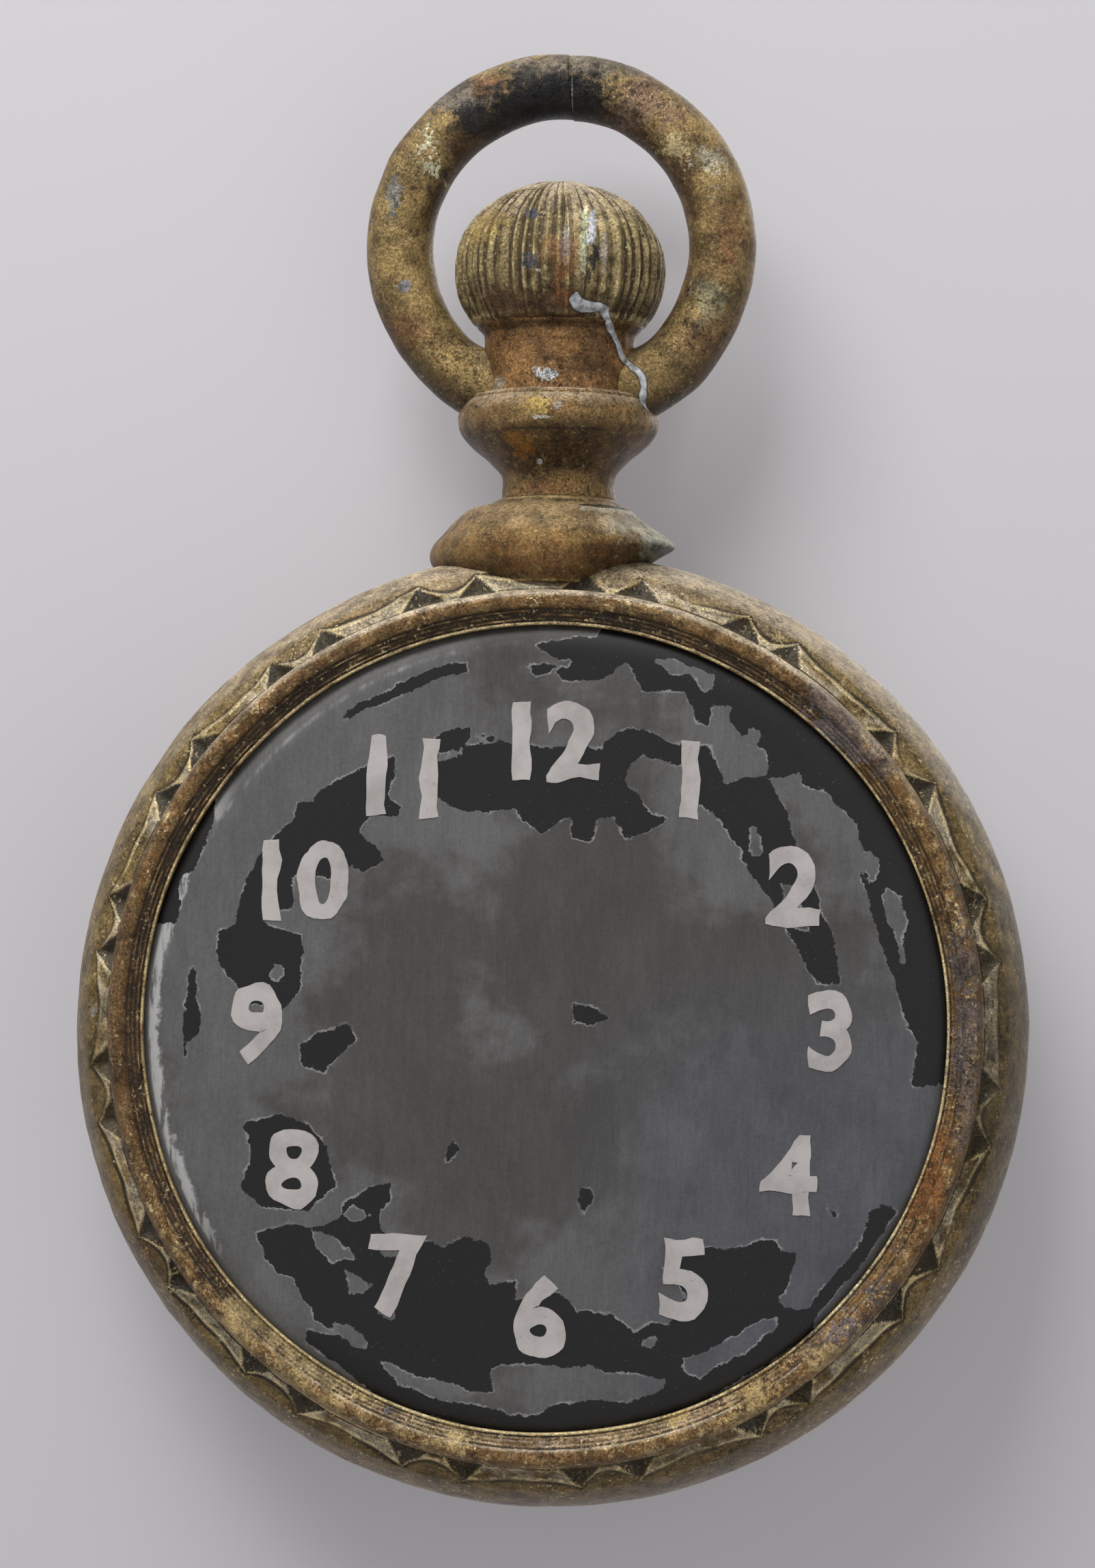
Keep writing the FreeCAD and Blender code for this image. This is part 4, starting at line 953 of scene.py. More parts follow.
def saddle(material, seed):
    """Lens-shaped foot: full to its left point, hollow to its right one, and rounded under to the case."""
    seat = (COLLAR_LOW.z - CASE_MIDDLE) / MM
    seat_radius = SEAT_RADIUS / MM
    # Height, left reach and right reach in mm, and share of the half depth
    levels = np.array([
        (seat, seat_radius, seat_radius, SEAT_RADIUS / SADDLE_HALF_DEPTH), (seat - 2.0, 29.0, 26.8, 0.545),
        (217.5, 37.4, 30.2, 0.64), (213.5, 42.7, 34.3, 0.77), (210.0, 46.0, 39.4, 0.87),
        (207.4, 48.2, 43.6, 0.93), (205.0, 50.6, 46.8, 0.965), (202.9, 52.2, 49.4, 0.985),
        (200.7, 53.2, 49.4, 1.0), (198.8, 53.7, 46.5, 1.0), (196.1, 53.8, 41.5, 1.0),
        (193.2, 52.8, 37.5, 0.99), (190.5, 50.2, 34.4, 0.97), (187.7, 46.0, 32.0, 0.94),
        (185.5, 42.0, 30.0, 0.915), (183.5, 38.0, 28.5, 0.89),
    ])
    turns = np.linspace(0, 2 * math.pi, SADDLE_STEPS, endpoint=False)
    rows = np.linspace(0, len(levels) - 1, SADDLE_LEVELS)
    levels = np.array([np.interp(rows, range(len(levels)), levels[:, i]) for i in range(4)]).T
    for _ in range(3):
        levels[1:-1] = 0.25 * levels[:-2] + 0.5 * levels[1:-1] + 0.25 * levels[2:]

    def level_ring(level, inset):
        height, left, right, deep = level
        half = 0.5 * (left + right) * MM - inset
        ring = lens_ring(turns, half, SADDLE_HALF_DEPTH * deep - inset, (seat - height) * MM)
        ring[:, 0] *= np.where(ring[:, 0] < 0, left * MM - inset, right * MM - inset) / half
        return ring

    outer = [level_ring(level, 0.0) for level in levels]
    inner = [level_ring(level, SADDLE_WALL) - np.array([0, 0, 1.2 * MM]) for level in levels[::-4]]
    grid = np.array(outer + inner)
    skin = len(outer)
    height = dents(grid, seed, (0.05, 0.4), (0.012, 0.16)) - 0.2
    height[skin:] = 0
    height[:6] *= np.linspace(0, 1, 6)[:, None]
    grid = pushed_out(grid, height, True, 30)
    floor = case_top(grid[..., 0], grid[..., 1]) - 0.8 * MM
    grid[..., 2] = np.maximum(grid[..., 2], floor)
    return make_skin("saddle_skin", grid, material, "bronzed_casting", ["saddle"])


def smooth_profile(points, count):
    """A Catmull-Rom curve through profile points."""
    points = np.array(points)
    padded = np.vstack([2 * points[0] - points[1], points, 2 * points[-1] - points[-2]])
    result = []
    spans = len(points) - 1
    for value in np.linspace(0, spans, count):
        i = min(int(value), spans - 1)
        t = value - i
        a, b, c, d = padded[i:i + 4]
        result.append(0.5 * (2 * b + (c - a) * t + (2 * a - 5 * b + 4 * c - d) * t ** 2
                             + (3 * b - a - 3 * c + d) * t ** 3))
    return np.array(result)


def turned_piece(name, profile, steps, material, nodes_replaced, seed, broad_dent, fine_dent):
    """A casting turned about the pendant's axis, with walls uneven by its dents in mm."""
    turns = np.linspace(0, 2 * math.pi, steps, endpoint=False)
    grid = np.array([about_upright(np.full(steps, radius), height, turns) for radius, height in profile])
    uneven = dents(grid, seed, (0.04, broad_dent), (0.011, fine_dent))
    scale = 1 + (uneven - broad_dent) * MM / np.maximum(np.hypot(grid[..., 0], grid[..., 1]), 0.02)
    grid[..., :2] *= scale[..., None]
    return make_skin(name, grid, material, "bronzed_casting", nodes_replaced, closed_rows=False)


def collar(material, seed):
    """Waist, round collar and a small step at its top."""
    foot = COLLAR_LOW.z
    radius = COLLAR_HIGH.x
    profile = [
        (24.4 * MM, foot), (24.1 * MM, foot + 3 * MM), (24.0 * MM, foot + 7 * MM),
        (25.3 * MM, foot + 11.5 * MM), (29.5 * MM, foot + 16.5 * MM), (35.0 * MM, foot + 21.0 * MM),
        (39.6 * MM, foot + 25.5 * MM), (radius - 0.6 * MM, foot + 29.0 * MM), (radius, foot + 32.5 * MM),
        (radius - 0.4 * MM, foot + 35.8 * MM), (40.4 * MM, foot + 38.8 * MM), (38.9 * MM, foot + 40.6 * MM),
        (37.6 * MM, foot + 41.8 * MM), (37.2 * MM, foot + 42.6 * MM), (36.3 * MM, foot + 43.6 * MM),
        (34.0 * MM, foot + 44.0 * MM), (31.0 * MM, foot + 44.1 * MM),
    ]
    return turned_piece(
        "collar_skin", smooth_profile(profile, 110), COLLAR_STEPS, material, ["baluster"], seed,
        broad_dent=0.4, fine_dent=0.18)


def neck(material, seed):
    """Plain tube, spreading a little onto the collar and with a small bead under the crown."""
    low = COLLAR_TOP - 1.0 * MM
    high = CROWN_FOOT + 0.6 * MM
    profile = [
        (NECK_RADIUS + 1.2 * MM, low), (NECK_RADIUS + 0.6 * MM, low + 1.6 * MM),
        (NECK_RADIUS, low + 4 * MM),
        (NECK_RADIUS - 0.2 * MM, (low + high) / 2), (NECK_RADIUS + 0.1 * MM, high - 6 * MM),
        (NECK_RADIUS + 1.0 * MM, high - 3.6 * MM), (NECK_RADIUS + 2.4 * MM, high - 2.2 * MM),
        (NECK_RADIUS + 2.9 * MM, high - 1.2 * MM), (NECK_RADIUS + 2.2 * MM, high - 0.3 * MM),
        (NECK_RADIUS - 1.0 * MM, high),
    ]
    return turned_piece(
        "neck_skin", smooth_profile(profile, 60), NECK_STEPS, material, ["neck"], seed,
        broad_dent=0.25, fine_dent=0.16)


def crown(material, seed):
    """Onion-shaped winder with hand-cut flutes that fade out at the top."""
    foot = CROWN_FOOT
    below = CROWN_BELLY - foot
    above = CROWN_TOP - CROWN_BELLY
    foot_share = (1 - (CROWN_FOOT_RADIUS / CROWN_RADIUS) ** 2) ** (1 / 2.3)
    profile = [(26.0 * MM, foot + 1.0 * MM), (CROWN_FOOT_RADIUS - 1.6 * MM, foot - 0.4 * MM)]
    for share in np.linspace(0.98, 0, 18):
        radius = CROWN_RADIUS * (1 - (foot_share * share) ** 2.3) ** 0.5
        profile.append((radius, CROWN_BELLY - below * share))
    for angle in np.radians(np.linspace(2, 89.4, 46)):
        profile.append((CROWN_RADIUS * math.cos(angle), CROWN_BELLY + above * math.sin(angle)))
    turns = np.linspace(0, 2 * math.pi, CROWN_STEPS, endpoint=False)
    rng = np.random.default_rng(seed)
    flute_ends = np.cumsum(rng.uniform(0.65, 1.35, CROWN_FLUTES))
    flute_ends *= 2 * math.pi / flute_ends[-1]
    number = np.minimum(np.searchsorted(flute_ends, turns, side="right"), CROWN_FLUTES - 1)
    flute_starts = np.concatenate([[0.0], flute_ends[:-1]])
    phase = (turns - flute_starts[number]) / (flute_ends - flute_starts)[number]
    depth_share = rng.uniform(0.5, 1.15, CROWN_FLUTES)
    ridge_drop = rng.uniform(0.0, 0.4, CROWN_FLUTES)
    ridge_tone = rng.uniform(0.0, 1.0, CROWN_FLUTES) ** 1.6
    valley = 0.5 + 0.5 * np.cos(2 * math.pi * phase)
    cut = valley * 0.5 * (depth_share[number] + depth_share[(number + 1) % CROWN_FLUTES])
    cut += ridge_drop[number] * (1 - valley)
    grid = []
    for radius, height in profile:
        fade = np.clip((radius / CROWN_RADIUS - 0.15) / 0.45, 0.0, 1.0)
        fade *= 0.45 + 0.55 * np.clip((height - foot) / (12 * MM), 0, 1)
        grid.append(about_upright(radius - CROWN_FLUTE_DEPTH * fade * cut, height, turns))
    grid = np.array(grid)
    uneven = dents(grid, seed + 1, (0.03, 0.3), (0.008, 0.15))
    grid = pushed_out(grid, (uneven - 0.35) * np.clip((grid[..., 2] - foot) / (2 * MM), 0, 1), False, 10)
    worn = ridge_tone[number] * np.clip(1.2 - 1.4 * valley, 0, 1)
    return make_skin("crown_skin", grid, material, "bronzed_casting", ["crown"], closed_rows=False,
                     relief=0.40 - np.broadcast_to(cut * 0.85, grid.shape[:2]),
                     worn=np.broadcast_to(worn, grid.shape[:2]))


def bow_half(side, material, seed):
    """Half of the ring, from the joint at its top to its swelling root in the neck."""
    around = np.linspace(0, 2 * math.pi, BOW_STEPS, endpoint=False)
    grid = []
    joint_x = BOW_JOINT - BOW_JOINT_LEAN * np.cos(around)
    joint_angle = side * np.arcsin(joint_x / (BOW_MEAN_RADIUS + BOW_TUBE_RADIUS * np.cos(around)))
    for share in np.linspace(0, 1, BOW_RINGS):
        middle_angle = (math.pi - BOW_ROOT_END) * share
        from_top = joint_angle * (1 - share) ** 8 + middle_angle
        from_bottom = math.pi - middle_angle
        root = np.clip((BOW_ROOT_START - from_bottom) / math.radians(26.0), 0, 1.6)
        swell = (BOW_ROOT_RADIUS - BOW_TUBE_RADIUS) * min(root, 1.25) ** 2
        tube = BOW_TUBE_RADIUS + swell
        reach = BOW_MEAN_RADIUS - swell
        joint = middle_angle * BOW_MEAN_RADIUS
        if side == RIGHT:
            reach = reach - BOW_JOINT_STEP * math.exp(-joint / (9 * MM))
        offset = tube * np.cos(around)
        x = side * ((reach + offset) * np.sin(from_top) + BOW_JOINT_GAP)
        z = BOW_CENTRE + (reach + offset) * np.cos(from_top)
        grid.append(np.stack([x, tube * np.sin(around), z], axis=-1))
    grid = np.array(grid)
    grid = pushed_out(grid, dents(grid, seed, (0.05, 0.45), (0.014, 0.16)) - 0.45, False, 60)
    name = "bow_right_arm" if side == RIGHT else "bow_left_arm"
    node = "bow_right" if side == RIGHT else "bow_left"
    return make_skin(name, grid, material, "bronzed_casting", [node], closed_rows=False)


# Repair

# The crack's route in the photograph's pixels, laid on the castings from the camera's place
REPAIR_ROUTE = [
    (843, 428), (845, 443), (862, 449), (880, 450), (887, 462), (893, 480), (905, 508), (912, 525),
    (925, 538), (937, 548), (942, 562), (941, 580), (940, 590), (949, 603),
]
PHOTO_MIDDLE = (801.5, 1148.0)
PHOTO_HEIGHT = 2296
REPAIR_RINGS = 120
REPAIR_STEPS = 14
REPAIR_HALF_WIDTH = 2.15
REPAIR_RAGGED = 0.45
REPAIR_HEIGHT = 0.7 * MM
REPAIR_SWELL_AT = [0, 8, 26, 40, 119]
REPAIR_SWELL = [1.25, 1.5, 1.3, 0.95, 0.85]


def seen_ray(pixel):
    """From the camera through a pixel of the photograph."""
    camera = bpy.context.scene.camera
    focal = CAMERA_LENS / SENSOR_WIDTH * PHOTO_HEIGHT
    local = Vector((pixel[0] - PHOTO_MIDDLE[0], PHOTO_MIDDLE[1] - pixel[1], -focal)).normalized()
    matrix = camera.matrix_world
    return matrix.translation, (matrix.to_3x3() @ local).normalized()


def on_surface(trees, pixel):
    """Where the ray of a pixel first meets one of the pieces, and the surface's direction there."""
    start, heading = seen_ray(pixel)
    best = None
    for tree in trees:
        hit, normal, _, distance = tree.ray_cast(start, heading)
        if hit is not None and (best is None or distance < best[2]):
            best = (hit, normal, distance)
    return best[0], best[1]


def repair_bead(material, pieces, seed):
    """Pale metal run into the crack, ragged in width, lying on what it crosses."""
    trees = [BVHTree.FromObject(piece, bpy.context.evaluated_depsgraph_get()) for piece in pieces]
    route = smooth_profile(REPAIR_ROUTE, REPAIR_RINGS)
    rng = np.random.default_rng(seed)
    rings = np.arange(REPAIR_RINGS)
    knots = np.arange(0, REPAIR_RINGS + 1, 4)
    widths = REPAIR_HALF_WIDTH + REPAIR_RAGGED * np.interp(rings, knots, rng.uniform(-1, 1, len(knots)))
    widths *= np.interp(rings, REPAIR_SWELL_AT, REPAIR_SWELL)
    places = []
    facings = []
    for pixel in route:
        hit, normal = on_surface(trees, pixel)
        places.append(hit)
        facings.append(normal if normal.y < 0 else -normal)
    last = REPAIR_RINGS - 1
    turns = np.linspace(0, 2 * math.pi, REPAIR_STEPS, endpoint=False)
    grid = []
    for i, (place, facing) in enumerate(zip(places, facings)):
        across = (places[min(i + 1, last)] - places[max(i - 1, 0)]).cross(facing).normalized()
        taper = min(1.0, 0.35 + i / 8, 0.35 + (last - i) / 8)
        wide = np.outer(np.cos(turns), across) * widths[i] * taper * MM
        high = np.outer(np.sin(turns), facing) * taper * REPAIR_HEIGHT
        grid.append(np.array(place) + wide + high)
    grid = np.array(grid)
    grid += (wavy(grid, 0.004, seed) * 0.12 * MM)[..., None]
    side_share = np.abs(np.cos(turns))
    return make_skin("repair_line", grid, material, "repair_metal", ["repair_bead"], closed_rows=False,
                     border=np.broadcast_to(side_share, grid.shape[:2]))


# Numbers on the dials

NUMBER_HEIGHT = 43.0 * MM
NUMBER_CIRCLE = 118.0 * MM
NUMBER_SWELL = 1.55 * MM
NUMBER_HALF_DEPTH = 0.25 * MM
NUMBER_DEPTH_KEPT = 0.8
NUMBER_LIFT = 0.12 * MM
NUMBER_WAVE_BROAD = (0.014, 0.7)
NUMBER_WAVE_FINE = (0.005, 0.16)


def number_outline(text):
    """One number as a thin closed mesh, its strokes swollen as a brush leaves them."""
    curve = bpy.data.curves.new("number", "FONT")
    curve.body = text
    curve.size = NUMBER_HEIGHT
    curve.align_x = "CENTER"
    curve.offset = NUMBER_SWELL
    curve.extrude = NUMBER_HALF_DEPTH
    curve.resolution_u = 6
    helper = bpy.data.objects.new("number", curve)
    bpy.context.collection.objects.link(helper)
    graph = bpy.context.evaluated_depsgraph_get()
    mesh = bpy.data.meshes.new_from_object(helper.evaluated_get(graph))
    bpy.data.objects.remove(helper)
    bpy.data.curves.remove(curve)
    return mesh


def dial_numbers(side, material, seed):
    """The twelve hours, painted by hand: each lies on the dial's dents and wavers a little."""
    joined = bmesh.new()
    for hour in range(1, 13):
        mesh = number_outline(str(hour))
        part = bmesh.new()
        part.from_mesh(mesh)
        bpy.data.meshes.remove(mesh)
        bmesh.ops.remove_doubles(part, verts=part.verts, dist=0.05 * MM)
        bmesh.ops.triangulate(part, faces=part.faces)
        for longest in (12 * MM, 6 * MM, 3 * MM):
            long_edges = [edge for edge in part.edges if edge.calc_length() > longest]
            bmesh.ops.subdivide_edges(part, edges=long_edges, cuts=1)
            bmesh.ops.triangulate(part, faces=part.faces)
        low = min(v.co.y for v in part.verts)
        high = max(v.co.y for v in part.verts)
        turn = math.radians(30 * hour)
        flat = np.array([vertex.co for vertex in part.verts])
        x = side * (math.sin(turn) * NUMBER_CIRCLE + flat[:, 0])
        z = CASE_MIDDLE + math.cos(turn) * NUMBER_CIRCLE + flat[:, 1] - (low + high) / 2
        key = np.stack([x, np.zeros_like(x), z], axis=-1)
        x = x + dents(key, seed, NUMBER_WAVE_BROAD, NUMBER_WAVE_FINE) * MM
        z = z + dents(key, seed + 2, NUMBER_WAVE_BROAD, NUMBER_WAVE_FINE) * MM
        face = dial_depth(np.hypot(x, z - CASE_MIDDLE))
        dent = dial_dents(np.stack([x, np.zeros_like(x), z], axis=-1), side)
        y = side * (dent - face - NUMBER_LIFT - flat[:, 2] * NUMBER_DEPTH_KEPT)
        for vertex, place in zip(part.verts, np.stack([x, y, z], axis=-1)):
            vertex.co = place
        part_mesh = bpy.data.meshes.new("number_part")
        part.to_mesh(part_mesh)
        part.free()
        joined.from_mesh(part_mesh)
        bpy.data.meshes.remove(part_mesh)
    bmesh.ops.recalc_face_normals(joined, faces=joined.faces)
    name = "dial_front_numbers" if side == FRONT else "dial_back_numbers"
    mesh = bpy.data.meshes.new(name)
    joined.to_mesh(mesh)
    joined.free()
    mesh.materials.append(material)
    piece = bpy.data.objects.new(name, mesh)
    bpy.context.collection.objects.link(piece)
    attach(piece, "root")
    return piece


# Materials

def dial_paint():
    """Black paint flaked off grey sheet in ragged islands, with pale broken edges, and pale marks on the
    left of the rolled edge: rubbed metal with a painted highlight, and a painted highlight on the bend.
    """
    material, nodes, shader = new_material("dial_paint")
    place = nodes.place()
    x, _, up, radius = from_case_middle(nodes, place)
    depth = nodes.attribute("paint")
    for scale, detail, reach in ((45.0, 3.0, 5.0), (150.0, 4.0, 4.2), (600.0, 2.0, 1.3)):
        rough = nodes.math("SUBTRACT", nodes.noise(place, scale, detail, 0.6), 0.5)
        depth = nodes.math("ADD", depth, nodes.math("MULTIPLY", rough, reach))
    black = nodes.span(depth, -0.12, 0.12)
    line = nodes.math("MULTIPLY", nodes.span(depth, -1.0, -0.4), nodes.span(depth, 0.2, -0.1))
    broken = nodes.span(nodes.noise(place, 70.0, 4.0, 0.6), 0.44, 0.60)
    line = nodes.math("MULTIPLY", line, broken)
    tone = nodes.noise(place, 11.0, 5.0, 0.65)
    lighter = nodes.math("ADD", tone, nodes.math("MULTIPLY", nodes.span(radius, 0.02, 0.15), 0.12))
    grey = nodes.blend(nodes.span(lighter, 0.50, 0.62), DIAL_GREY_DARK, DIAL_GREY)
    lower_right = nodes.math("MULTIPLY", nodes.span(x, -0.02, 0.10), nodes.span(up, 0.05, -0.04))
    grey = nodes.blend(nodes.math("MULTIPLY", lower_right, 0.75), grey, DIAL_GREY_BLUE)
    brushed = nodes.noise(nodes.vector("MULTIPLY", place, (1.0, 1.0, 0.08)), 900.0, 4.0, 0.7)
    smear = nodes.noise(nodes.vector("MULTIPLY", place, (1.0, 1.0, 0.4)), 55.0, 6.0, 0.75)
    grain = nodes.noise(place, 700.0, 4.0, 0.7)
    shade = nodes.math(
        "MULTIPLY", nodes.span(brushed, 0.3, 0.7, 0.93, 1.07), nodes.span(smear, 0.3, 0.7, 0.86, 1.14))
    shade = nodes.math("MULTIPLY", shade, nodes.span(grain, 0.3, 0.7, 0.90, 1.10))
    grey = nodes.vector("MULTIPLY", grey, nodes.join(shade, shade, shade))
    grey = nodes.blend(nodes.math("MULTIPLY", line, 0.6), grey, FLAKE_EDGE)
    edge_noise = nodes.math("SUBTRACT", nodes.noise(place, 120.0, 4.0, 0.7), 0.5)
    edge_noise = nodes.math("MULTIPLY", edge_noise, 0.012)
    scratched = nodes.noise(nodes.vector("MULTIPLY", place, (1.0, 1.0, 0.15)), 260.0, 4.0, 0.7)
    # A pale, scratched band on the rolled edge, on the left only: rubbed metal and a painted highlight
    # where the edge faces the light
    rolled = nodes.math("ADD", radius, edge_noise)
    rolled = nodes.span(rolled, DIAL_EDGE_RUBBED_LIT_START, DIAL_EDGE_RUBBED_LIT_START + 0.0020)
    rolled = nodes.math("MULTIPLY", rolled, nodes.span(x, -0.125, -0.145))
    rolled = nodes.math("MULTIPLY", rolled, nodes.span(scratched, 0.36, 0.52))
    rolled = nodes.math("MULTIPLY", rolled, nodes.span(radius, DIAL_EDGE_RUBBED_LIT_END, DIAL_EDGE_RUBBED_LIT_END - 0.0015))
    grey = nodes.blend(nodes.math("MULTIPLY", rolled, 0.8), grey, DIAL_EDGE_RUBBED_AND_LIT)
    # A pale line along the bend, in the upper left only: painted highlight where the bend faces the light
    bend_highlight = nodes.math(
        "MULTIPLY", nodes.span(radius, DIAL_BEND_START, DIAL_BEND_START + 0.0016),
        nodes.span(radius, DIAL_BEND_END, DIAL_BEND_END - 0.0014))
    above_left = nodes.math("MULTIPLY", nodes.span(x, 0.0, -0.05), nodes.span(up, 0.0, 0.04))
    above_left = nodes.math("MULTIPLY", above_left, nodes.span(smear, 0.40, 0.62))
    bend_highlight = nodes.math("MULTIPLY", bend_highlight, above_left)
    grey = nodes.blend(nodes.math("MULTIPLY", bend_highlight, 0.55), grey, FLAKE_EDGE)
    dust = nodes.span(nodes.noise(place, 1500.0, 2.0, 0.5), 0.70, 0.76)
    ink = nodes.blend(nodes.math("MULTIPLY", dust, 0.25), DIAL_BLACK, FLAKE_EDGE)
    nodes.put(shader.inputs["Base Color"], nodes.blend(black, grey, ink))
    nodes.put(shader.inputs["Roughness"], nodes.span(black, 0.0, 1.0, 0.55, 0.50))
    nodes.put(shader.inputs["Metallic"], nodes.span(black, 0.0, 1.0, 0.20, 0.0))
    shader.inputs["Specular IOR Level"].default_value = 0.28
    height = nodes.math("ADD", black, nodes.math("MULTIPLY", brushed, 0.10))
    bump(nodes, shader, height, 0.0005, 0.8)
    return material


def number_paint():
    """Worn pale paint with dark specks where the dial shows through."""
    material, nodes, shader = new_material("number_paint")
    place = nodes.place()
    tone = nodes.noise(place, 55.0, 5.0, 0.65)
    colour = nodes.blend(nodes.span(tone, 0.35, 0.7), NUMBER_PAINT, NUMBER_PAINT_DULL)
    specks = nodes.span(nodes.noise(place, 600.0, 4.0, 0.65), 0.64, 0.72)
    colour = nodes.blend(nodes.math("MULTIPLY", specks, 0.55), colour, NUMBER_SPECK)
    nodes.put(shader.inputs["Base Color"], colour)
    nodes.put(shader.inputs["Roughness"], nodes.span(tone, 0.3, 0.7, 0.6, 0.75))
    bump(nodes, shader, nodes.noise(place, 300.0, 5.0, 0.6), 0.0002, 0.5)
    return material


def plain_metal(name, base, spot_tone, scale, metallic, low, high):
    """Hidden metal inside the case: dull, with uneven stains."""
    material, nodes, shader = new_material(name)
    place = nodes.place()
    stain = nodes.noise(place, scale, 6.0, 0.65)
    nodes.put(shader.inputs["Base Color"], nodes.blend(nodes.span(stain, 0.4, 0.65), base, spot_tone))
    nodes.put(shader.inputs["Roughness"], nodes.span(stain, 0.3, 0.7, low, high))
    shader.inputs["Metallic"].default_value = metallic
    bump(nodes, shader, nodes.noise(place, scale * 8, 5.0, 0.6), 0.0002, 0.5)
    return material


def repair_metal():
    """Pale solder, grey where it is worn, with dirt along both edges."""
    material, nodes, shader = new_material("repair_metal")
    place = nodes.place()
    tone = nodes.noise(place, 260.0, 5.0, 0.7)
    colour = nodes.blend(nodes.span(tone, 0.38, 0.62), SOLDER_DULL, SOLDER_BRIGHT)
    ragged = nodes.math("MULTIPLY", nodes.math("SUBTRACT", tone, 0.5), 0.5)
    edge = nodes.math("ADD", nodes.attribute("border"), ragged)
    colour = nodes.blend(nodes.span(edge, 0.72, 0.95), colour, GRIME)
    nodes.put(shader.inputs["Base Color"], colour)
    nodes.put(shader.inputs["Roughness"], nodes.span(tone, 0.3, 0.7, 0.60, 0.38))
    shader.inputs["Metallic"].default_value = 0.35
    bump(nodes, shader, nodes.noise(place, 500.0, 4.0, 0.6), 0.0004, 0.6)
    return material


def at(x, y, z):
    """A place given in millimetres from the case's middle."""
    return (x * MM, y * MM, CASE_MIDDLE + z * MM)


def size(x, y, z):
    """Half sizes of a spot, given in millimetres."""
    return (x * MM, y * MM, z * MM)


def case_paint():
    """Bronze on the case: painted shade to the right and below, with its raised panels worn pale."""
    return casting_material(
        "casting_case", Paint=srgb(118, 98, 58), Second=srgb(98, 70, 38), Second_Amount=0.46,
        Third=srgb(156, 138, 94), Third_Amount=0.42, Streaks=0.15, Rub=0.8, Rubbed=srgb(216, 196, 146),
        Bare_Amount=0.20, Bare=srgb(124, 124, 122), Dust=0.65, Shade=0.3,
        spots=[
            # Darker at the right side and along the bottom: painted shade
            (at(188, -20, -20), size(40, 60, 130), srgb(72, 62, 44), 0.65, 2.6, 0.7),
            (at(60, -20, -190), size(120, 60, 40), srgb(88, 74, 50), 0.5, 2.6, 0.7),
            (at(-190, -30, -20), size(20, 40, 60), srgb(92, 76, 46), 0.45, 3.0, 0.6),
            (at(-192, -44, 8), size(7, 10, 7), srgb(136, 134, 128), 0.8, 2.6),
        ])


def bezel_paint():
    """Gilt over brown on the bezel, broken into specks, with grey metal to the right, a lip paled by wear
    and painted highlight, and a top lightened by dust and painted top light.
    """
    return casting_material(
        "casting_bezel", Paint=srgb(110, 82, 48), Second=srgb(78, 54, 32), Second_Amount=0.50,
        Third=srgb(156, 130, 90), Third_Amount=0.44, Streaks=0.5, Rub=0.9, Rubbed=srgb(212, 190, 140),
        Bare_Amount=0.26, Bare=srgb(118, 116, 122), Worn_Tone=PALE_GILT_AND_HIGHLIGHT, Dust=1.3, Shade=0.0,
        spots=[
            (at(173, -48, 10), size(6, 10, 60), srgb(90, 88, 92), 0.55, 3.4),
            (at(124, -48, 128), size(18, 10, 18), srgb(104, 104, 112), 0.4, 3.2),
            (at(-172, -48, 0), size(9, 10, 70), DARK_BROWN, 0.40, 2.8),
            (at(158, -48, -62), size(8, 10, 28), srgb(134, 84, 42), 0.55, 4.4),
            (at(122, -48, -122), size(26, 10, 22), srgb(118, 114, 120), 0.55, 5.2),
            (at(100, -48, -138), size(44, 10, 18), srgb(130, 84, 42), 0.45, 6.0),
            (at(112, -48, -128), size(40, 10, 26), GRIME, 0.55, 8.0),
            (at(90, -48, -146), size(50, 10, 22), srgb(190, 166, 112), 0.5, 9.0),
            (at(-96, -48, -142), size(50, 10, 22), srgb(186, 166, 116), 0.4, 9.0),
        ])


def saddle_paint():
    """Warm brown, with grey dirt towards the right point and a dark seam at the seat."""
    return casting_material(
        "casting_saddle", Paint=srgb(126, 100, 58), Second=srgb(112, 78, 42), Second_Amount=0.52,
        Third=srgb(140, 126, 90), Third_Amount=0.28, Rub=0.45, Bare_Amount=0.10, Dust=0.2,
        spots=[
            (at(0, -44, 195), size(32, 20, 12), srgb(100, 68, 36), 0.7, 2.4, 0.5),
            (at(43, -12, 203), size(12, 34, 8), srgb(134, 136, 118), 0.8, 3.0),
            (at(34, -20, 209), size(13, 26, 5), srgb(156, 150, 126), 0.6, 3.6),
            (at(47, -6, 199), size(7, 24, 2.6), srgb(62, 64, 60), 0.8, 2.0),
            (at(20, -22, 215.2), size(15, 20, 1.4), srgb(186, 176, 152), 0.6, 2.8),
            (at(21, -22, 216.8), size(12, 20, 0.7), GRIME, 0.9, 1.1),
        ])


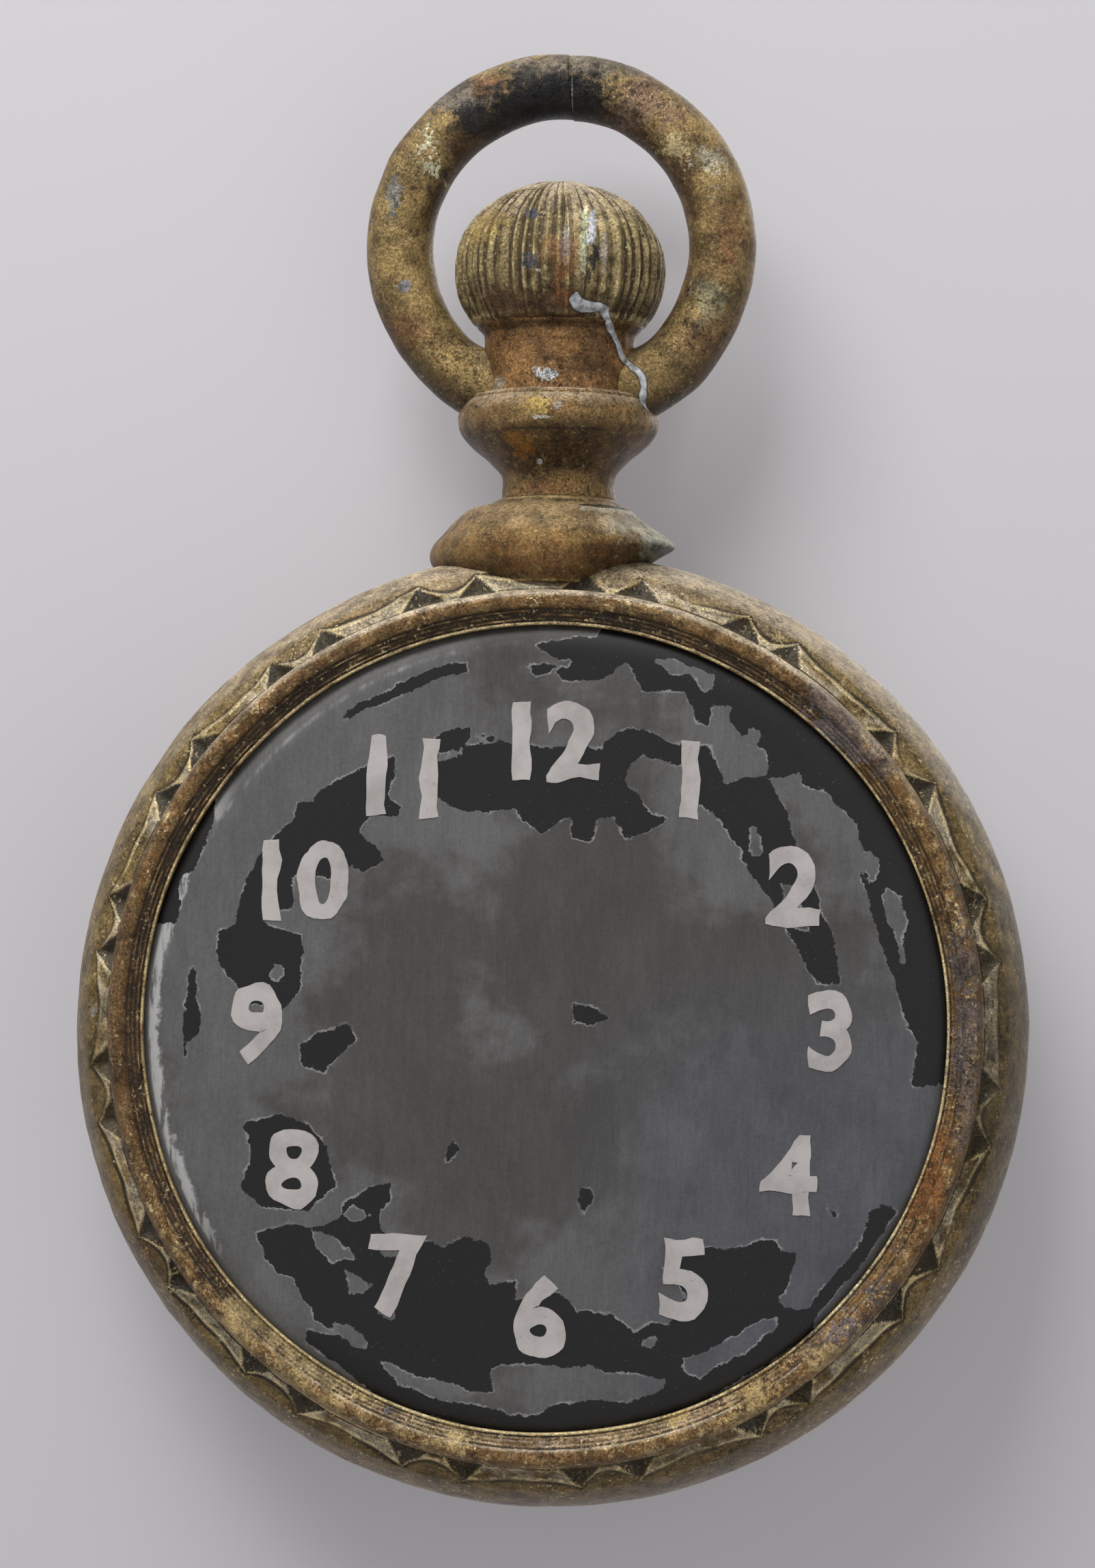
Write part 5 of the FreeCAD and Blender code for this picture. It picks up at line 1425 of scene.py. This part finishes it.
def collar_paint():
    """Brown with an orange stain, gilt on the collar's brow and a dark line under it."""
    return casting_material(
        "casting_collar", Paint=srgb(124, 98, 60), Second=srgb(106, 78, 46), Second_Amount=0.5,
        Third=srgb(140, 124, 86), Third_Amount=0.3, Rub=0.35, Bare_Amount=0.08,
        spots=[
            (at(-16, -34, 237), size(7, 14, 8), ORANGE_BROWN, 0.6, 3.2),
            (at(-5, -24, 224), size(11, 12, 4), srgb(128, 88, 54), 0.5, 2.2),
            (at(-6, -40, 257.5), size(7, 12, 4.0), srgb(176, 150, 84), 0.65, 4.4),
            (at(3, -40, 257), size(3.4, 12, 3.2), srgb(142, 140, 138), 0.6, 3.4),
            (at(-4, -42, 251.8), size(4, 12, 0.7), srgb(190, 186, 176), 0.7, 3.0),
            (at(-6, -30, 234.8), size(1.8, 8, 1.5), srgb(196, 194, 190), 0.85, 1.2),
            (at(4, -42, 247.5), size(30, 14, 0.6), GRIME, 0.55, 1.4),
        ])


def neck_paint():
    """Red brown, with a bright scrape in the middle and painted shade down its right side."""
    return casting_material(
        "casting_neck", Paint=srgb(130, 96, 58), Second=srgb(106, 76, 46), Second_Amount=0.5,
        Third=srgb(136, 112, 76), Third_Amount=0.3, Rub=0.3, Bare_Amount=0.06, Dust=0.5,
        spots=[
            # Dark brown down the right side of the neck: painted shade
            (at(18, -28, 279), size(12, 16, 14), DARK_BROWN, 0.55, 2.4),
            (at(-1.8, -31, 270.7), size(3.4, 8, 2.0), srgb(190, 192, 190), 0.95, 3.6),
            (at(-2.4, -31, 270.7), size(0.8, 8, 1.6), srgb(116, 112, 106), 0.8, 2.6),
            (at(-24, -22, 268), size(5, 10, 3), srgb(140, 142, 128), 0.6, 2.4),
        ])


def crown_paint():
    """Worn gilt on the flutes' ridges, dirt and painted shade in their valleys, painted shade low down,
    pale and blue chips.
    """
    return casting_material(
        "casting_crown", Paint=srgb(138, 122, 84), Second=srgb(118, 92, 56), Second_Amount=0.50,
        Third=srgb(164, 150, 114), Third_Amount=0.36, Rub=0.75, Bare_Amount=0.26, Dust=0.85, Shade=0.9,
        Worn_Tone=srgb(178, 160, 116),
        Rubbed=srgb(200, 184, 136), Dirt=srgb(58, 44, 28),
        spots=[
            # Dark brown over the lower part of the crown: painted shade
            (at(-2, -36, 300), size(38, 20, 13), srgb(84, 60, 38), 0.75, 2.6, 0.6),
            (at(12.4, -44, 325), size(1.5, 16, 22), srgb(190, 194, 160), 0.8, 3.0),
            (at(15.6, -42, 334), size(1.7, 14, 10), srgb(190, 194, 204), 0.8, 3.6),
            (at(16.2, -42, 318), size(2.1, 14, 6), BLUE_BLACK, 0.9, 2.2),
            (at(14.5, -42, 309), size(1.3, 14, 6), GRIME, 0.8, 2.6),
            (at(20.5, -41, 325), size(1.7, 12, 12), srgb(158, 148, 136), 0.65, 3.0),
            (at(-9.3, -42, 337), size(2.8, 12, 2.6), BLUE_GREY, 0.8, 3.0),
            (at(-9.4, -43, 316), size(3.0, 12, 3.6), srgb(78, 80, 90), 0.85, 3.0),
            (at(-6.5, -43, 312.6), size(2.0, 12, 1.0), srgb(226, 224, 212), 0.9, 2.2),
            (at(4.8, -44, 325), size(2.0, 12, 8), srgb(128, 136, 142), 0.7, 3.2),
            (at(-4, -44, 340), size(2.6, 12, 3), srgb(116, 120, 134), 0.6, 3.4),
            (at(-18, -38, 331), size(1.3, 12, 16), DARK_BROWN, 0.4, 2.6),
            (at(2, -44, 316), size(7, 12, 13), srgb(140, 92, 52), 0.45, 4.2),
            (at(-30, -32, 333), size(9, 14, 10), srgb(164, 136, 72), 0.4, 3.2),
        ])


def bow_paint():
    """Bronze with a black, bare patch at the top, pale flakes and brown stains, a painted grey highlight
    along the top and painted shade at the lower right.
    """
    return casting_material(
        "casting_bow", Paint=srgb(136, 114, 72), Second=srgb(110, 80, 52), Second_Amount=0.48,
        Third=srgb(146, 132, 96), Third_Amount=0.30, Rub=0.45, Bare_Amount=0.16, Bare=srgb(104, 106, 110),
        Dust=0.2, Shade=0.85, Rubbed=srgb(200, 184, 138),
        spots=[
            # Grey along the top of the ring: painted highlight
            (at(6, -2, 403), size(42, 22, 10), srgb(112, 106, 96), 0.75, 2.0, 0.4),
            (at(-40, -8, 390), size(20, 20, 11), srgb(80, 84, 90), 0.65, 2.8),
            (at(-30, -8, 395), size(10, 20, 6), srgb(132, 90, 50), 0.65, 3.0),
            (at(34, -10, 388), size(19, 20, 13), srgb(122, 98, 84), 0.65, 2.4, 0.4),
            (at(-42, -14, 372), size(10, 20, 12), DARK_BROWN, 0.75, 2.0, 0.5),
            (at(-52, -14, 345), size(6, 20, 24), DARK_BROWN, 0.6, 2.0, 0.6),
            (at(51, -14, 352), size(7, 20, 28), srgb(84, 58, 40), 0.65, 2.0, 0.6),
            (at(-2, -12, 389), size(38, 28, 17), srgb(46, 41, 37), 0.95, 1.2, 0.5),
            (at(-1, -14, 388), size(31, 26, 13), srgb(28, 27, 26), 0.97, 0.8, 0.4),
            (at(-33, -14, 380), size(17, 22, 9), srgb(32, 31, 31), 0.9, 1.4, 0.5),
            # Darker brown at the lower right of the ring: painted shade
            (at(60, -10, 318), size(30, 22, 44), srgb(92, 70, 48), 0.5, 2.4, 0.8),
            (at(4.6, -14, 390), size(0.35, 12, 11), srgb(128, 126, 120), 0.5, 1.6),
            (at(-53, -12, 365), size(4.6, 16, 7.5), CREAM, 0.85, 5.2),
            (at(-49, -14, 358), size(2.2, 12, 2.2), srgb(60, 58, 56), 0.8, 2.2),
            (at(-70, -8, 348), size(3.5, 16, 9), srgb(108, 114, 116), 0.65, 2.6),
            (at(-64.7, -13, 310), size(3.0, 12, 2.9), srgb(132, 132, 138), 0.85, 1.2),
            (at(64, -12, 362), size(6, 18, 8), srgb(178, 172, 152), 0.6, 5.6),
            (at(49, -14, 369), size(5.5, 14, 4), srgb(190, 176, 132), 0.6, 4.6),
            (at(70, -12, 332), size(7, 16, 18), srgb(118, 80, 50), 0.5, 3.2),
            (at(-66, -12, 290), size(12, 18, 10), srgb(104, 66, 44), 0.5, 3.2),
            (at(62, -14, 304), size(8, 18, 9), srgb(136, 134, 108), 0.55, 2.6),
            (at(66, -12, 280), size(10, 18, 12), srgb(100, 68, 48), 0.5, 3.0),
        ])


# Stage

WALL_PLACE = 62.0 * MM
WALL_REACH = 3.0
WALL_EVEN_SHARE = 0.26
STUDIO_LIGHT = (0.86, 0.87, 0.90, 1.0)
STUDIO_STRENGTH = 0.36

# Each lamp's name, place, power, width and height
LAMPS = [
    ("key_light", (-0.85, -1.8, 2.0), 80.0, 1.8, 1.5),
    ("top_light", (-0.25, -0.40, 1.5), 9.0, 1.2, 0.8),
    ("fill_light", (1.2, -2.2, -0.2), 3.5, 1.6, 1.6),
    ("low_light", (1.1, -1.7, -1.7), 5.0, 1.8, 1.4),
    ("back_light", (0.8, 2.4, 0.9), 14.0, 1.6, 1.6),
]


def make_stage():
    """A pale wall close behind, seen only from the front. Part of it is even light, to soften shadows."""
    wall_mesh = bpy.data.meshes.new("wall")
    corners = [(-1, -1), (1, -1), (1, 1), (-1, 1)]
    wall_mesh.from_pydata(
        [(x * WALL_REACH, WALL_PLACE, z * WALL_REACH) for x, z in corners], [], [(0, 1, 2, 3)])
    wall = bpy.data.objects.new("wall", wall_mesh)
    bpy.context.collection.objects.link(wall)
    material = bpy.data.materials.new("wall")
    material.use_nodes = True
    tree = material.node_tree
    tree.nodes.clear()
    nodes = Nodes(tree)
    height = nodes.apart(nodes.place())[2]
    colour = nodes.blend(nodes.span(height, -0.70, 0.05), WALL_BOTTOM, WALL_TOP)
    diffuse = nodes.add("ShaderNodeBsdfDiffuse")
    nodes.put(diffuse.inputs["Color"], colour)
    even = nodes.add("ShaderNodeEmission")
    nodes.put(even.inputs["Color"], colour)
    wall_shader = nodes.add("ShaderNodeMixShader")
    wall_shader.inputs[0].default_value = WALL_EVEN_SHARE
    nodes.put(wall_shader.inputs[1], diffuse.outputs[0])
    nodes.put(wall_shader.inputs[2], even.outputs[0])
    clear = nodes.add("ShaderNodeBsdfTransparent")
    camera_ray = nodes.add("ShaderNodeLightPath").outputs["Is Camera Ray"]
    front = nodes.math("SUBTRACT", 1.0, nodes.add("ShaderNodeNewGeometry").outputs["Backfacing"])
    mix = nodes.add("ShaderNodeMixShader")
    nodes.put(mix.inputs[0], nodes.math("MULTIPLY", camera_ray, front))
    nodes.put(mix.inputs[1], clear.outputs[0])
    nodes.put(mix.inputs[2], wall_shader.outputs[0])
    nodes.put(nodes.add("ShaderNodeOutputMaterial").inputs["Surface"], mix.outputs[0])
    wall_mesh.materials.append(material)


def make_world():
    """Soft light from all sides. What a ray of sight, gloss or clear glass meets is the pale backdrop."""
    world = bpy.data.worlds.new("studio")
    bpy.context.scene.world = world
    world.use_nodes = True
    tree = world.node_tree
    tree.nodes.clear()
    nodes = Nodes(tree)
    light = nodes.add("ShaderNodeBackground")
    light.inputs["Color"].default_value = STUDIO_LIGHT
    light.inputs["Strength"].default_value = STUDIO_STRENGTH
    seen = nodes.add("ShaderNodeBackground")
    seen.inputs["Color"].default_value = WALL_TOP
    seen.inputs["Strength"].default_value = 1.0
    path = nodes.add("ShaderNodeLightPath").outputs
    share = nodes.math("MAXIMUM", path["Is Camera Ray"], path["Is Transmission Ray"])
    share = nodes.math("MAXIMUM", share, path["Is Glossy Ray"])
    mix = nodes.add("ShaderNodeMixShader")
    nodes.put(mix.inputs[0], share)
    nodes.put(mix.inputs[1], light.outputs[0])
    nodes.put(mix.inputs[2], seen.outputs[0])
    nodes.put(nodes.add("ShaderNodeOutputWorld").inputs["Surface"], mix.outputs[0])


def make_lamp(name, place, power, width, height):
    """A soft rectangular lamp turned towards the sign's middle."""
    data = bpy.data.lights.new(name, "AREA")
    data.shape = "RECTANGLE"
    data.size = width
    data.size_y = height
    data.energy = power
    lamp = bpy.data.objects.new(name, data)
    bpy.context.collection.objects.link(lamp)
    lamp.location = place
    aim = Vector((0, 0, CASE_MIDDLE + 0.1)) - Vector(place)
    lamp.rotation_mode = "QUATERNION"
    lamp.rotation_quaternion = aim.to_track_quat("-Z", "Y")


# Pieces inside the case, which keep the solids' own shapes
ZINC_NODES = ["seam_strap", "dial_clips_front", "dial_clips_back"]
IRON_NODES = [
    "bezel_screws_front", "bezel_screws_back", "bow_dowel", "bow_pins", "tie_rod", "tie_rod_nuts",
    "tie_rod_washer", "anchor_plate"]


def main():
    make_camera()
    make_world()
    make_stage()
    for lamp in LAMPS:
        make_lamp(*lamp)

    on_case = case_paint()
    on_bezel = bezel_paint()
    on_dial = dial_paint()
    on_bow = bow_paint()
    on_numbers = number_paint()
    case_shell(FRONT, on_case, seed=5)
    case_shell(BACK, on_case, seed=8)
    bezel(FRONT, on_bezel, seed=11)
    bezel(BACK, on_bezel, seed=14)
    dial(FRONT, on_dial)
    dial(BACK, on_dial)
    saddle(saddle_paint(), seed=21)
    crossed_by_crack = [collar(collar_paint(), seed=24), neck(neck_paint(), seed=27)]
    crossed_by_crack.append(crown(crown_paint(), seed=61))
    bow_half(LEFT, on_bow, seed=64)
    crossed_by_crack.append(bow_half(RIGHT, on_bow, seed=64))
    repair_bead(repair_metal(), crossed_by_crack, seed=70)
    dial_numbers(FRONT, on_numbers, seed=81)
    dial_numbers(BACK, on_numbers, seed=84)

    zinc = plain_metal("zinc_inside", ZINC_DULL, ZINC_STAIN, 40.0, 0.4, 0.5, 0.7)
    iron = plain_metal("old_iron", IRON, RUST, 60.0, 0.6, 0.45, 0.75)
    for metal, inside_nodes in ((zinc, ZINC_NODES), (iron, IRON_NODES)):
        for node in inside_nodes:
            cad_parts[node].material_slots[0].material = metal

    bpy.context.scene.view_settings.view_transform = "Standard"


main()

bpy.context.view_layer.update()
